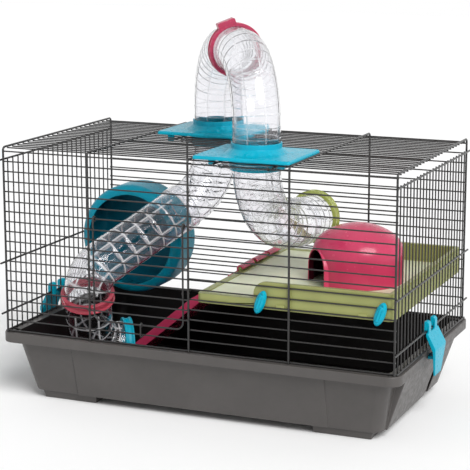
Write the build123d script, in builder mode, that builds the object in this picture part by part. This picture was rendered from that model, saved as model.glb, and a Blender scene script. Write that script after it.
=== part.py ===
"""Wire hamster cage on a moulded tray, with clear tubes, a wheel, a shelf, a ramp and a house.

Millimetres, Z up. The origin is the middle of the footprint on the table. The front faces -Y.
"""
import os
from math import acos, cos, degrees, radians, sin

from build123d import *

# Wire cage
cage_length = 486.0
cage_depth = 275.2
cage_height = 224.6
left_bay = 111.5
door_bay = 127.5
right_bay = 124.0
hoop_wire = 2.6
hoop_bend = 4.3
line_wire = 1.7
line_pitch = 12.05
first_line_drop = 3.0
line_overhang = 0.8
bar_wire = 2.4
bar_overhang = 8.0
top_bar_drop = 15.1
mid_bar_rise = 85.5
low_bar_rise = 24.0
upright_pitch = 12.1
weld_gap = 0.05

# Door in the front, hung on a line wire
door_top = 232.0
door_inset = 6.5
door_wire = 2.2
door_loop = 2.75
door_corner = 9.0
door_line_lap = 1.3
latch_wire = 1.8
latch_offset = 3.75
latch_reach = 5.2
running_gap = 0.1
moving_gap = 0.3

# Tray
tray_height = 85.0
tray_foot = 10.0
tray_wall = 2.5
tray_floor_length = 444.0
tray_floor_depth = 234.0
tray_floor_corner = 14.0
tray_mouth_length = 474.0
tray_mouth_depth = 270.0
tray_mouth_corner = 14.0
rim_length = 500.0
rim_depth = 287.2
rim_corner = 15.0
rim_band = 11.5
rim_skirt = 2.2
front_panel_length = 320.0
front_panel_proud = 1.5
end_panel_depth = 200.0
end_panel_proud = 2.0
end_groove_from = 42.0
end_groove_to = 57.0
foot_inner_x = 138.0
foot_outer_x = 211.0
foot_inner_y = 55.0
foot_outer_y = 113.0
foot_draft = 2.0

# Clips that hold the wire cage on the tray
clip_offset = -12.0
clip_width = 42.0
clip_finger = 8.5
clip_crown = 12.0
clip_finger_leg = 4.0
clip_inner_lap = 4.0
clip_thick = 3.6
clip_belly_out = 13.5
clip_rim_gap = 5.4
clip_belly_drop = 19.0
clip_tip_drop = 53.0
clip_tip_width = 24.0
clip_tip_thick = 2.0
pocket_width = 66.0
pocket_drop = 17.0
catch_width = 14.0
catch_height = 4.0
catch_drop = 33.0
catch_gap = 0.8

# Roof fittings and tubes
front_hole = (60.5, -90.0)
back_hole = (-58.5, 67.0)
plate_length = 118.0
plate_depth = 98.0
plate_thick = 4.0
plate_corner = 4.0
plate_bevel = 1.5
tube_outer = 27.75
tube_wall = 1.6
tube_fit = 0.1
collar_wall = 1.4
collar_rise = 12.0
flare_radius = 37.0
flare_rise = 6.0
boss_radius = 40.0
spigot_wall = 3.15
spigot_drop = 15.0
stop_thick = 1.5
stop_lip = 1.5
hole_half_length = 36.0
hole_half_depth = 34.0
lock_thick = 4.0
lock_fit = 0.05
lock_tab_reach = 6.0
lock_tab_width = 9.0
snap_offset = 42.0
snap_width = 8.0
snap_thick = 3.0
snap_inset = 6.0
arch_lead = 30.5
arch_radius = 78.0
front_drop_lead = 11.5
front_drop_radius = 83.0
front_drop_heading = (0.133, 0.991)
front_drop_tail = 15.0
front_end_length = 48.0
back_drop_lead = 17.8
back_drop_radius = 75.0
back_drop_turn = 65.8
back_drop_heading = (-0.476, -0.879)
back_drop_tail = 14.0
slope_length = 127.7
slope_radius = 30.0
slope_end_heading = (-0.141, 0.336, -0.93)
slope_tail = 6.0
foot_lead = 41.0
foot_radius = 36.0
foot_heading = (0.816, 0.578)
foot_tail = 17.0
mitre_step = 13.0
band_width = 11.0
band_wall = 3.2
band_fit = 0.05
band_lip = 1.3
band_lip_width = 2.5
coupling_width = 13.0
coupling_wall = 1.8
clip_tab_width = 22.0
clip_tab_rise = 4.0
clip_tab_tilt = 20.0

# Wheel and its carrier on the back wires
wheel_x = -171.5
wheel_z = 168.0
wheel_radius = 70.0
wheel_front = 46.0
wheel_depth = 57.0
wheel_wall = 2.2
wheel_lip = 12.0
wheel_round = 11.0
hub_radius = 9.0
hub_depth = 18.0
axle_radius = 4.0
axle_fit = 0.05
cap_radius = 7.5
cap_thick = 6.0
carrier_width = 44.0
carrier_height = 62.0
carrier_thick = 4.0
carrier_boss = 10.0
wire_seat_gap = 0.35
lug_width = 10.0
lug_height = 2.8

# Shelf with its turning locks
shelf_left = 5.0
shelf_right = 239.5
shelf_bottom = 145.0
shelf_skirt = 11.0
shelf_wall = 2.2
shelf_deck = 2.0
shelf_sink = 1.0
shelf_corner = 6.0
shelf_border = 9.0
lip_left = 75.0
lip_rise = 31.0
lip_thick = 6.0
lip_corner = 14.0
knob_left_x = 85.0
knob_right_x = 226.0
knob_length = 28.0
knob_width = 12.0
knob_thick = 6.0
knob_edge = 2.5
knob_bevel = 2.0
knob_ridge_length = 17.0
knob_ridge_width = 3.5
knob_ridge_rise = 0.9
knob_tilt = 20.0
knob_shaft = 2.5
knob_depth = 5.0
shelf_lug_left = 108.0
shelf_lug_right = 205.0

# Ramp hung on the shelf's left edge
ramp_near = -13.0
ramp_width = 123.0
ramp_angle = 40.0
ramp_thick = 2.4
ramp_rail = 9.0
ramp_rail_wall = 2.4
ramp_rail_taper = 75.0
ramp_rung_pitch = 14.0
ramp_rung = 1.8
bead_radius = 2.2
bead_lift = 2.5
hook_wall = 2.2
hook_width = 36.0
hook_count = 3
hook_opening = 96.0
hook_stop = 8.0

# House on the shelf
house_x = 153.0
house_y = -1.0
house_radius = 54.0
house_wall_height = 33.0
house_height = 69.0
house_shoulder = 28.0
house_thick = 2.0
door_face = 53.5
house_door_half = 25.0
house_door_height = 42.5
house_door_rim = 2.2
house_door_heading = (-0.73, -0.68)

# Values that follow from the sizes above
hoop_r = hoop_wire / 2
line_r = line_wire / 2
bar_r = bar_wire / 2
door_r = door_wire / 2
latch_r = latch_wire / 2
half_length = cage_length / 2
half_depth = cage_depth / 2
hoop_x = [-half_length, -half_length + left_bay, -half_length + left_bay + door_bay]
hoop_x += [half_length - right_bay, half_length]
roof_z = tray_height + cage_height
line_y = half_depth - hoop_r - weld_gap - line_r
roof_line_z = roof_z - hoop_r - weld_gap - line_r
line_top = roof_line_z - first_line_drop
line_count = int((line_top - tray_height) / line_pitch)
line_z = [line_top - line_pitch * k for k in range(line_count)]
roof_line_count = int(cage_depth / line_pitch)
roof_line_y = [(j - (roof_line_count - 1) / 2) * line_pitch for j in range(roof_line_count)]
line_end = half_length + line_overhang
bar_x = half_length + hoop_r + weld_gap + bar_r
upright_x = bar_x - bar_r - weld_gap - line_r
base_bar_z = tray_height + bar_r
low_bar_z = tray_height + low_bar_rise
top_bar_z = roof_z - top_bar_drop
bar_heights = [base_bar_z, low_bar_z, tray_height + mid_bar_rise, top_bar_z]
upright_count = int(cage_depth / upright_pitch)
upright_y = [(j - (upright_count - 1) / 2) * upright_pitch for j in range(upright_count)]
hinge_line = round((line_top - door_top) / line_pitch)
hinge_z = line_z[hinge_line]
door_bottom_line = line_count - 2
wire_inner_y = line_y - line_r

os.makedirs("parts", exist_ok=True)


def write(piece, name):
    """Label a finished piece and write it."""
    piece.part.label = name
    export_step(piece.part, f"parts/{name}.step")


def nearest_gap(wires, place):
    """Middle of the gap between neighbouring wires that lies nearest to a place."""
    gaps = [(a + b) / 2 for a, b in zip(wires, wires[1:])]
    return min(gaps, key=lambda gap: abs(gap - place))


def wires_along_x(spans, radius):
    """Straight wires along X, one solid for each (x0, x1, y, z)."""
    for x0, x1, y, z in spans:
        with Locations(((x0 + x1) / 2, y, z)):
            Cylinder(radius, x1 - x0, rotation=(0, 90, 0))


def wires_along_y(spans, radius):
    """Straight wires along Y, one solid for each (y0, y1, x, z)."""
    for y0, y1, x, z in spans:
        with Locations((x, (y0 + y1) / 2, z)):
            Cylinder(radius, y1 - y0, rotation=(90, 0, 0))


def tapered_block(low_z, low, high_z, high, mode=Mode.ADD):
    """Loft between two rectangles, each given as (x0, x1, y0, y1)."""
    sections = []
    for z, (x0, x1, y0, y1) in ((low_z, low), (high_z, high)):
        with BuildSketch(Plane.XY.offset(z)) as section:
            with Locations(((x0 + x1) / 2, (y0 + y1) / 2)):
                Rectangle(x1 - x0, y1 - y0)
        sections.append(section.sketch)
    loft(sections, mode=mode)


def tapered_tub(low_z, low, high_z, high, mode=Mode.ADD):
    """Loft between two round-cornered rectangles, each given as (length, depth, corner)."""
    sections = []
    for z, (length, depth, corner) in ((low_z, low), (high_z, high)):
        with BuildSketch(Plane.XY.offset(z)) as section:
            RectangleRounded(length, depth, corner)
        sections.append(section.sketch)
    loft(sections, mode=mode)


def box_between(x0, x1, y0, y1, z0, z1, mode=Mode.ADD):
    """Box given by its limits."""
    with Locations(((x0 + x1) / 2, (y0 + y1) / 2, (z0 + z1) / 2)):
        Box(x1 - x0, y1 - y0, z1 - z0, mode=mode)


# Tray: tapered tub, flanged rim, proud panels, clip pockets and feet
rim_half_length = rim_length / 2
rim_half_depth = rim_depth / 2
floor_top = tray_foot + tray_wall
flange_under = tray_height - tray_wall
clip_y = nearest_gap(upright_y, clip_offset)
pocket_y0 = clip_y - pocket_width / 2
pocket_y1 = clip_y + pocket_width / 2
pocket_x = bar_x + bar_r + weld_gap
catch_z = low_bar_z - catch_drop
with BuildPart() as base_tray:
    with BuildSketch(Plane.XY.offset(tray_height - rim_band)):
        RectangleRounded(rim_length, rim_depth, rim_corner)
    extrude(amount=rim_band)
    with BuildSketch(Plane.XY.offset(tray_height - rim_band)):
        RectangleRounded(rim_length - 2 * rim_skirt, rim_depth - 2 * rim_skirt, rim_corner - rim_skirt)
    extrude(amount=rim_band - tray_wall, mode=Mode.SUBTRACT)
    floor_outline = (tray_floor_length, tray_floor_depth, tray_floor_corner)
    mouth_outline = (tray_mouth_length, tray_mouth_depth, tray_mouth_corner)
    tapered_tub(tray_foot, floor_outline, flange_under, mouth_outline)
    panel_low_y = tray_floor_depth / 2 + front_panel_proud
    panel_high_y = tray_mouth_depth / 2 + front_panel_proud
    panel_half = front_panel_length / 2
    tapered_block(
        tray_foot,
        (-panel_half, panel_half, -panel_low_y, panel_low_y),
        flange_under,
        (-panel_half, panel_half, -panel_high_y, panel_high_y),
    )
    panel_low_x = tray_floor_length / 2 + end_panel_proud
    for y0, y1 in ((-end_panel_depth / 2, end_groove_from), (end_groove_to, end_panel_depth / 2)):
        tapered_block(
            tray_foot,
            (-panel_low_x, panel_low_x, y0, y1),
            tray_height,
            (-rim_half_length, rim_half_length, y0, y1),
        )
    inner_floor = (tray_floor_length - 2 * tray_wall, tray_floor_depth - 2 * tray_wall, tray_floor_corner)
    inner_mouth = (tray_mouth_length - 2 * tray_wall, tray_mouth_depth - 2 * tray_wall, tray_mouth_corner)
    tapered_tub(floor_top, inner_floor, tray_height, inner_mouth, Mode.SUBTRACT)
    for side in (-1, 1):
        far_x = side * (rim_half_length + tray_wall)
        x0, x1 = sorted((side * pocket_x, far_x))
        box_between(x0, x1, pocket_y0, pocket_y1, tray_height - pocket_drop, tray_height, Mode.SUBTRACT)
        x0, x1 = sorted((side * (pocket_x - tray_wall), far_x))
        half = catch_width / 2 + catch_gap
        z0 = catch_z - catch_height / 2 - catch_gap
        z1 = catch_z + catch_height / 2 + catch_gap
        box_between(x0, x1, clip_y - half, clip_y + half, z0, z1, Mode.SUBTRACT)
        for end in (-1, 1):
            low = sorted((side * (foot_inner_x + foot_draft), side * (foot_outer_x - foot_draft)))
            low += sorted((end * (foot_inner_y + foot_draft), end * (foot_outer_y - foot_draft)))
            high = sorted((side * foot_inner_x, side * foot_outer_x))
            high += sorted((end * foot_inner_y, end * foot_outer_y))
            tapered_block(0, low, tray_foot, high)
write(base_tray, "base_tray")

# Cage frame: hoops bent over the roof, standing on the rim
with BuildPart() as cage_hoops:
    for x in hoop_x:
        with BuildLine(Plane.YZ.offset(x)) as hoop_line:
            FilletPolyline(
                (-half_depth, tray_height),
                (-half_depth, roof_z),
                (half_depth, roof_z),
                (half_depth, tray_height),
                radius=hoop_bend,
            )
        with BuildSketch(Plane.XY.offset(tray_height)):
            with Locations((x, -half_depth)):
                Circle(hoop_r)
        sweep(path=hoop_line.line)
write(cage_hoops, "cage_hoops")

base_wire_y = half_depth - hoop_r - weld_gap - bar_r
with BuildPart() as base_wires:
    base_end = upright_x - line_r - weld_gap
    wires_along_x([(-base_end, base_end, side * base_wire_y, base_bar_z) for side in (-1, 1)], bar_r)
write(base_wires, "base_wires")

# Front lines, cut away in the door bay
with BuildPart() as front_line_wires:
    spans = []
    for k, z in enumerate(line_z):
        if hinge_line < k <= door_bottom_line:
            spans.append((-line_end, hoop_x[1] + line_overhang, -line_y, z))
            spans.append((hoop_x[2] - line_overhang, line_end, -line_y, z))
        else:
            spans.append((-line_end, line_end, -line_y, z))
    wires_along_x(spans, line_r)
write(front_line_wires, "front_line_wires")

with BuildPart() as back_line_wires:
    wires_along_x([(-line_end, line_end, line_y, z) for z in line_z], line_r)
write(back_line_wires, "back_line_wires")

# Roof lines, cut away round the two tube holes
with BuildPart() as roof_line_wires:
    spans = []
    for y in roof_line_y:
        holes = [h for h in (back_hole, front_hole) if abs(y - h[1]) < hole_half_depth]
        start = -line_end
        for hole in holes:
            spans.append((start, hole[0] - hole_half_length + line_overhang, y, roof_line_z))
            start = hole[0] + hole_half_length - line_overhang
        spans.append((start, line_end, y, roof_line_z))
    wires_along_x(spans, line_r)
write(roof_line_wires, "roof_line_wires")

hole_wire_z = roof_line_z - line_r - weld_gap - bar_r
with BuildPart() as roof_hole_wires:
    spans = []
    for hole in (front_hole, back_hole):
        reach = hole_half_depth + line_pitch / 2
        for side in (-1, 1):
            x = hole[0] + side * hole_half_length
            spans.append((hole[1] - reach, hole[1] + reach, x, hole_wire_z))
    wires_along_y(spans, bar_r)
write(roof_hole_wires, "roof_hole_wires")

# End panels: uprights inside, cross bars outside
for side, name in ((-1, "left"), (1, "right")):
    with BuildPart() as end_wires:
        low = tray_height
        high = top_bar_z + bar_r
        with Locations([(side * upright_x, y, (low + high) / 2) for y in upright_y]):
            Cylinder(line_r, high - low)
    write(end_wires, f"{name}_end_wires")
    with BuildPart() as end_bars:
        reach = half_depth + bar_overhang
        inner = half_depth - hoop_r
        spans = [(-inner, inner, side * bar_x, base_bar_z)]
        spans += [(-reach, reach, side * bar_x, z) for z in bar_heights[1:]]
        wires_along_y(spans, bar_r)
    write(end_bars, f"{name}_end_bars")

# Door frame: one bent wire with an eye at each top end, round the hinge line
door_x0 = hoop_x[1] + door_inset
door_x1 = hoop_x[2] - door_inset
door_y = -line_y - door_loop
door_bottom = line_z[door_bottom_line]
with BuildPart() as door_frame:
    with BuildLine(Plane.XZ.offset(-door_y)) as door_line:
        FilletPolyline(
            (door_x0, hinge_z),
            (door_x0, door_bottom),
            (door_x1, door_bottom),
            (door_x1, hinge_z),
            radius=door_corner,
        )
    with BuildSketch(Plane.XY.offset(hinge_z)):
        with Locations((door_x0, door_y)):
            Circle(door_r)
    sweep(path=door_line.line)
    for x in (door_x0, door_x1):
        with BuildSketch(Plane.XY.offset(hinge_z)):
            with Locations((x, door_y)):
                Circle(door_r)
        revolve(axis=Axis((x, -line_y, hinge_z), (-1, 0, 0)), revolution_arc=270)
write(door_frame, "door_frame")

door_line_y = door_y - door_r - weld_gap - line_r
with BuildPart() as door_wires:
    x0 = hoop_x[1] - door_line_lap
    x1 = hoop_x[2] + door_line_lap
    wires_along_x([(x0, x1, door_line_y, z) for z in line_z[hinge_line + 1:door_bottom_line]], line_r)
write(door_wires, "door_wires")

# Latch: eye on the door's bottom wire, leg down, toe under the last line
latch_x = (hoop_x[1] + hoop_x[2]) / 2 + latch_offset
latch_loop = door_r + running_gap + latch_r
latch_y = door_y - latch_loop
toe_z = line_z[line_count - 1] - line_r - moving_gap - latch_r
with BuildPart() as door_latch:
    with BuildLine(Plane.YZ.offset(latch_x)) as latch_line:
        Polyline((latch_y, door_bottom), (latch_y, toe_z), (latch_y + latch_reach + latch_r, toe_z))
    with BuildSketch(Plane.XY.offset(door_bottom)):
        with Locations((latch_x, latch_y)):
            Circle(latch_r)
    sweep(path=latch_line.line, transition=Transition.RIGHT)
    with BuildSketch(Plane.XY.offset(door_bottom)):
        with Locations((latch_x, latch_y)):
            Circle(latch_r)
    revolve(axis=Axis((latch_x, door_y, door_bottom), (-1, 0, 0)), revolution_arc=270)
write(door_latch, "door_latch")

# Roof connectors: plate, flared collar, spigot through the hole, snaps under the lines
bore_r = tube_outer + tube_fit
collar_r = bore_r + collar_wall
spigot_r = bore_r + spigot_wall
plate_z = roof_z + hoop_r + 2 * weld_gap
plate_top = plate_z + plate_thick
boss_z = roof_line_z + line_r + weld_gap
spigot_z = plate_z - spigot_drop
stop_z = plate_z + stop_thick / 2
for hole, name in ((front_hole, "front"), (back_hole, "back")):
    hx, hy = hole
    with BuildPart() as connector:
        with BuildSketch(Plane.XY.offset(plate_z)):
            with Locations(hole):
                RectangleRounded(plate_length, plate_depth, plate_corner)
        extrude(amount=plate_thick)
        chamfer(connector.faces().sort_by(Axis.Z)[-1].edges(), plate_bevel)
        with BuildSketch(Plane(origin=(hx, hy, 0), x_dir=(1, 0, 0), z_dir=(0, -1, 0))):
            with BuildLine():
                Polyline(
                    (0, spigot_z),
                    (spigot_r, spigot_z),
                    (spigot_r, boss_z),
                    (boss_radius, boss_z),
                    (boss_radius, plate_z + plate_thick / 2),
                    (flare_radius, plate_top),
                    (collar_r, plate_top + flare_rise),
                    (collar_r, plate_top + collar_rise),
                    (0, plate_top + collar_rise),
                    close=True,
                )
            make_face()
        revolve(axis=Axis((hx, hy, 0), (0, 0, 1)))
        rises = ((spigot_z, stop_z, bore_r), (stop_z, stop_z + stop_thick, tube_outer - stop_lip))
        rises += ((stop_z + stop_thick, plate_top + collar_rise, bore_r),)
        for z0, z1, radius in rises:
            with Locations((hx, hy, (z0 + z1) / 2)):
                Cylinder(radius, z1 - z0, mode=Mode.SUBTRACT)
        toe_top = roof_line_z - line_r - moving_gap
        toe_bottom = toe_top - snap_thick
        for edge in (-1, 1):
            gap_y = nearest_gap(roof_line_y, hy + edge * (plate_depth / 2 - snap_inset))
            for across in (-1, 1):
                x0 = hx + across * snap_offset - snap_width / 2
                x1 = x0 + snap_width
                box_between(x0, x1, gap_y - snap_thick / 2, gap_y + snap_thick / 2, toe_bottom, plate_z)
                y0, y1 = sorted((gap_y, gap_y - edge * line_pitch / 2))
                box_between(x0, x1, y0, y1, toe_bottom, toe_top)
    write(connector, f"roof_connector_{name}")
    with BuildPart() as lock_ring:
        lock_top = hole_wire_z - bar_r - weld_gap
        with BuildSketch(Plane.XY.offset(lock_top - lock_thick)):
            with Locations(hole):
                Circle(boss_radius)
                with PolarLocations(boss_radius, 4, start_angle=45):
                    Rectangle(2 * lock_tab_reach, lock_tab_width)
                Circle(spigot_r + lock_fit, mode=Mode.SUBTRACT)
        extrude(amount=lock_thick)
    write(lock_ring, f"lock_ring_{name}")


def bend_route(start, heading, toward, lead, radius, turn, tail):
    """Corner points of a mitred bend and the heading at its end."""
    side = (toward - heading * toward.dot(heading)).normalized()
    angle = radians(turn)
    pieces = max(2, round(turn / mitre_step))
    centre = start + heading * lead + side * radius
    reach = radius / cos(angle / (2 * pieces))
    points = [start]
    for k in range(pieces):
        a = angle * (k + 0.5) / pieces
        points.append(centre - side * (reach * cos(a)) + heading * (reach * sin(a)))
    out = (heading * cos(angle) + side * sin(angle)).normalized()
    bend_end = centre - side * (radius * cos(angle)) + heading * (radius * sin(angle))
    points.append(bend_end + out * tail)
    return points, out


def write_half_tubes(route, seam, name):
    """Two half shells of a clear tube along a planar route, split in the plane of the route."""
    heading = (route[1] - route[0]).normalized()
    for flip, half in ((1, "left"), (-1, "right")):
        with BuildPart() as shell:
            with BuildLine() as axis_line:
                Polyline(*route)
            with BuildSketch(Plane(origin=route[0], x_dir=seam * flip, z_dir=heading)):
                Circle(tube_outer)
                Circle(tube_outer - tube_wall, mode=Mode.SUBTRACT)
                with Locations((-tube_outer, 0)):
                    Rectangle(2 * tube_outer, 3 * tube_outer, mode=Mode.SUBTRACT)
            sweep(path=axis_line.line, transition=Transition.RIGHT)
        write(shell, f"{name}_{half}")


def sleeve(middle, heading, bore, outer, length):
    """Plain sleeve round a point on a tube's axis."""
    with BuildSketch(Plane(origin=middle - heading * (length / 2), z_dir=heading)) as section:
        Circle(outer)
        Circle(bore, mode=Mode.SUBTRACT)
    extrude(section.sketch, amount=length)


def lipped_band(middle, heading):
    """Coloured band with a raised lip at each edge."""
    bore = tube_outer + band_fit
    outer = tube_outer + band_wall
    sleeve(middle, heading, bore, outer, band_width)
    for side in (-1, 1):
        shift = heading * (side * (band_width - band_lip_width) / 2)
        sleeve(middle + shift, heading, bore, outer + band_lip, band_lip_width)


# Arch over the roof, from one hole to the other
up = Vector(0, 0, 1)
down = Vector(0, 0, -1)
front_axis = Vector(front_hole[0], front_hole[1], 0)
back_axis = Vector(back_hole[0], back_hole[1], 0)
hole_gap = back_axis - front_axis
across_roof = hole_gap.normalized()
upper_seat = stop_z + stop_thick
lower_seat = stop_z
arch_tail = hole_gap.length / 2 - arch_radius
for axis_point, toward, name in ((front_axis, across_roof, "front"), (back_axis, across_roof * -1, "back")):
    start = axis_point + up * upper_seat
    route, heading = bend_route(start, up, toward, arch_lead, arch_radius, 90, arch_tail)
    write_half_tubes(route, up.cross(toward).normalized(), f"arch_{name}")
apex = front_axis + hole_gap * 0.5 + up * (upper_seat + arch_lead + arch_radius)
with BuildPart() as arch_ring:
    lipped_band(apex, across_roof)
    tab_r = tube_outer + band_wall + clip_tab_rise / 2
    tab_way = up.rotate(Axis((0, 0, 0), across_roof), -clip_tab_tilt)
    with BuildSketch(Plane(origin=apex - across_roof * (band_width / 2), x_dir=tab_way, z_dir=across_roof)):
        with Locations((tab_r, 0)):
            RectangleRounded(clip_tab_rise * 2, clip_tab_width, clip_tab_rise / 2)
        Circle(tube_outer + band_fit, mode=Mode.SUBTRACT)
    extrude(amount=band_width)
write(arch_ring, "arch_ring")

# Front drop: down through the roof, level above the shelf, open end with a band
front_toward = Vector(front_drop_heading[0], front_drop_heading[1], 0).normalized()
start = front_axis + up * lower_seat
route, heading = bend_route(
    start, down, front_toward, front_drop_lead, front_drop_radius, 90, front_drop_tail
)
write_half_tubes(route, down.cross(front_toward).normalized(), "drop_front")
front_joint = route[-1]
with BuildPart() as front_coupling:
    coupling_bore = tube_outer + band_fit
    sleeve(front_joint, heading, coupling_bore, coupling_bore + coupling_wall, coupling_width)
write(front_coupling, "front_coupling")
with BuildPart() as front_end_tube:
    middle = front_joint + heading * (front_end_length / 2)
    sleeve(middle, heading, tube_outer - tube_wall, tube_outer, front_end_length)
write(front_end_tube, "front_end_tube")
with BuildPart() as lime_ring:
    lipped_band(front_joint + heading * (front_end_length - band_width / 2), heading)
write(lime_ring, "lime_ring")

# Back drop, slope and foot: one run from the roof to above the tray floor
back_toward = Vector(back_drop_heading[0], back_drop_heading[1], 0).normalized()
seam = down.cross(back_toward).normalized()
start = back_axis + up * lower_seat
route, heading = bend_route(
    start, down, back_toward, back_drop_lead, back_drop_radius, back_drop_turn, back_drop_tail
)
write_half_tubes(route, seam, "drop_back")
back_joint = route[-1]
with BuildPart() as back_coupling:
    sleeve(back_joint, heading, coupling_bore, coupling_bore + coupling_wall, coupling_width)
write(back_coupling, "back_coupling")
slope_end = Vector(*slope_end_heading).normalized()
slope_turn = degrees(acos(heading.dot(slope_end)))
slope_seam = heading.cross(slope_end).normalized()
route, heading = bend_route(
    back_joint, heading, slope_end, slope_length, slope_radius, slope_turn, slope_tail
)
write_half_tubes(route, slope_seam, "slope_tube")
slope_joint = route[-1]
with BuildPart() as slope_ring:
    lipped_band(slope_joint, heading)
write(slope_ring, "slope_ring")
foot_toward = Vector(foot_heading[0], foot_heading[1], 0).normalized()
foot_turn = degrees(acos(heading.dot(foot_toward)))
foot_seam = heading.cross(foot_toward).normalized()
route, heading = bend_route(
    slope_joint, heading, foot_toward, foot_lead, foot_radius, foot_turn, foot_tail
)
write_half_tubes(route, foot_seam, "foot_elbow")
with BuildPart() as foot_ring:
    lipped_band(route[-1] - heading * (band_width / 2), heading)
write(foot_ring, "foot_ring")

# Wheel: round-edged drum with an open front and a hub, on an axle held by a carrier on the back wires
wheel_back = wheel_front + wheel_depth
hub_front = wheel_back - hub_depth
wheel_axis = Axis((wheel_x, 0, wheel_z), (0, 1, 0))
wheel_plane = Plane(origin=(wheel_x, 0, wheel_z), x_dir=(1, 0, 0), z_dir=(0, 0, 1))
with BuildPart() as wheel_drum:
    with BuildSketch(wheel_plane):
        with BuildLine():
            Polyline(
                (axle_radius + axle_fit, wheel_back),
                (wheel_radius, wheel_back),
                (wheel_radius, wheel_front),
                (wheel_radius - wheel_lip, wheel_front),
                (wheel_radius - wheel_lip, wheel_front + wheel_wall),
                (wheel_radius - wheel_wall, wheel_front + wheel_wall),
                (wheel_radius - wheel_wall, wheel_back - wheel_wall),
                (hub_radius, wheel_back - wheel_wall),
                (hub_radius, hub_front),
                (axle_radius + axle_fit, hub_front),
                close=True,
            )
        make_face()
    revolve(axis=wheel_axis)
    rims = wheel_drum.edges().filter_by(GeomType.CIRCLE).sort_by(SortBy.RADIUS)
    fillet(rims[-2:], wheel_round)
    inner_low = wheel_radius - 1.5 * wheel_wall
    inner_high = wheel_radius - wheel_wall / 2
    rims = wheel_drum.edges().filter_by(GeomType.CIRCLE)
    fillet(rims.filter_by(lambda rim: inner_low < rim.radius < inner_high), wheel_round - wheel_wall)
write(wheel_drum, "wheel_drum")

cap_back = hub_front - moving_gap
boss_front = wheel_back + moving_gap
carrier_back = wire_inner_y - wire_seat_gap
carrier_front = carrier_back - carrier_thick
axle_front = cap_back - cap_thick / 2
with BuildPart() as wheel_axle:
    with Locations((wheel_x, (axle_front + carrier_front) / 2, wheel_z)):
        Cylinder(axle_radius, carrier_front - axle_front, rotation=(90, 0, 0))
write(wheel_axle, "wheel_axle")
with BuildPart() as wheel_cap:
    with Locations((wheel_x, cap_back - cap_thick / 2, wheel_z)):
        Cylinder(cap_radius, cap_thick, rotation=(90, 0, 0))
    with Locations((wheel_x, cap_back - cap_thick / 4, wheel_z)):
        Cylinder(axle_radius + axle_fit, cap_thick / 2, rotation=(90, 0, 0), mode=Mode.SUBTRACT)
write(wheel_cap, "wheel_cap")


def line_seat(z):
    """Height of a lug that rests on the nearest line below z."""
    return max(line for line in line_z if line < z) + line_r + weld_gap


with BuildPart() as wheel_bracket:
    box_between(
        wheel_x - carrier_width / 2,
        wheel_x + carrier_width / 2,
        carrier_front,
        carrier_back,
        wheel_z - carrier_height / 2,
        wheel_z + carrier_height / 2,
    )
    with Locations((wheel_x, (boss_front + carrier_front) / 2, wheel_z)):
        Cylinder(carrier_boss, carrier_front - boss_front, rotation=(90, 0, 0))
        Cylinder(axle_radius + axle_fit, carrier_front - boss_front, rotation=(90, 0, 0), mode=Mode.SUBTRACT)
    for z in (wheel_z - carrier_height / 4, wheel_z + carrier_height / 2 - lug_height):
        for side in (-1, 1):
            x = wheel_x + side * (carrier_width - lug_width) / 2
            z0 = line_seat(z)
            lug_back = line_y + line_r - weld_gap
            box_between(x - lug_width / 2, x + lug_width / 2, carrier_back, lug_back, z0, z0 + lug_height)
write(wheel_bracket, "wheel_bracket")

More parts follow.
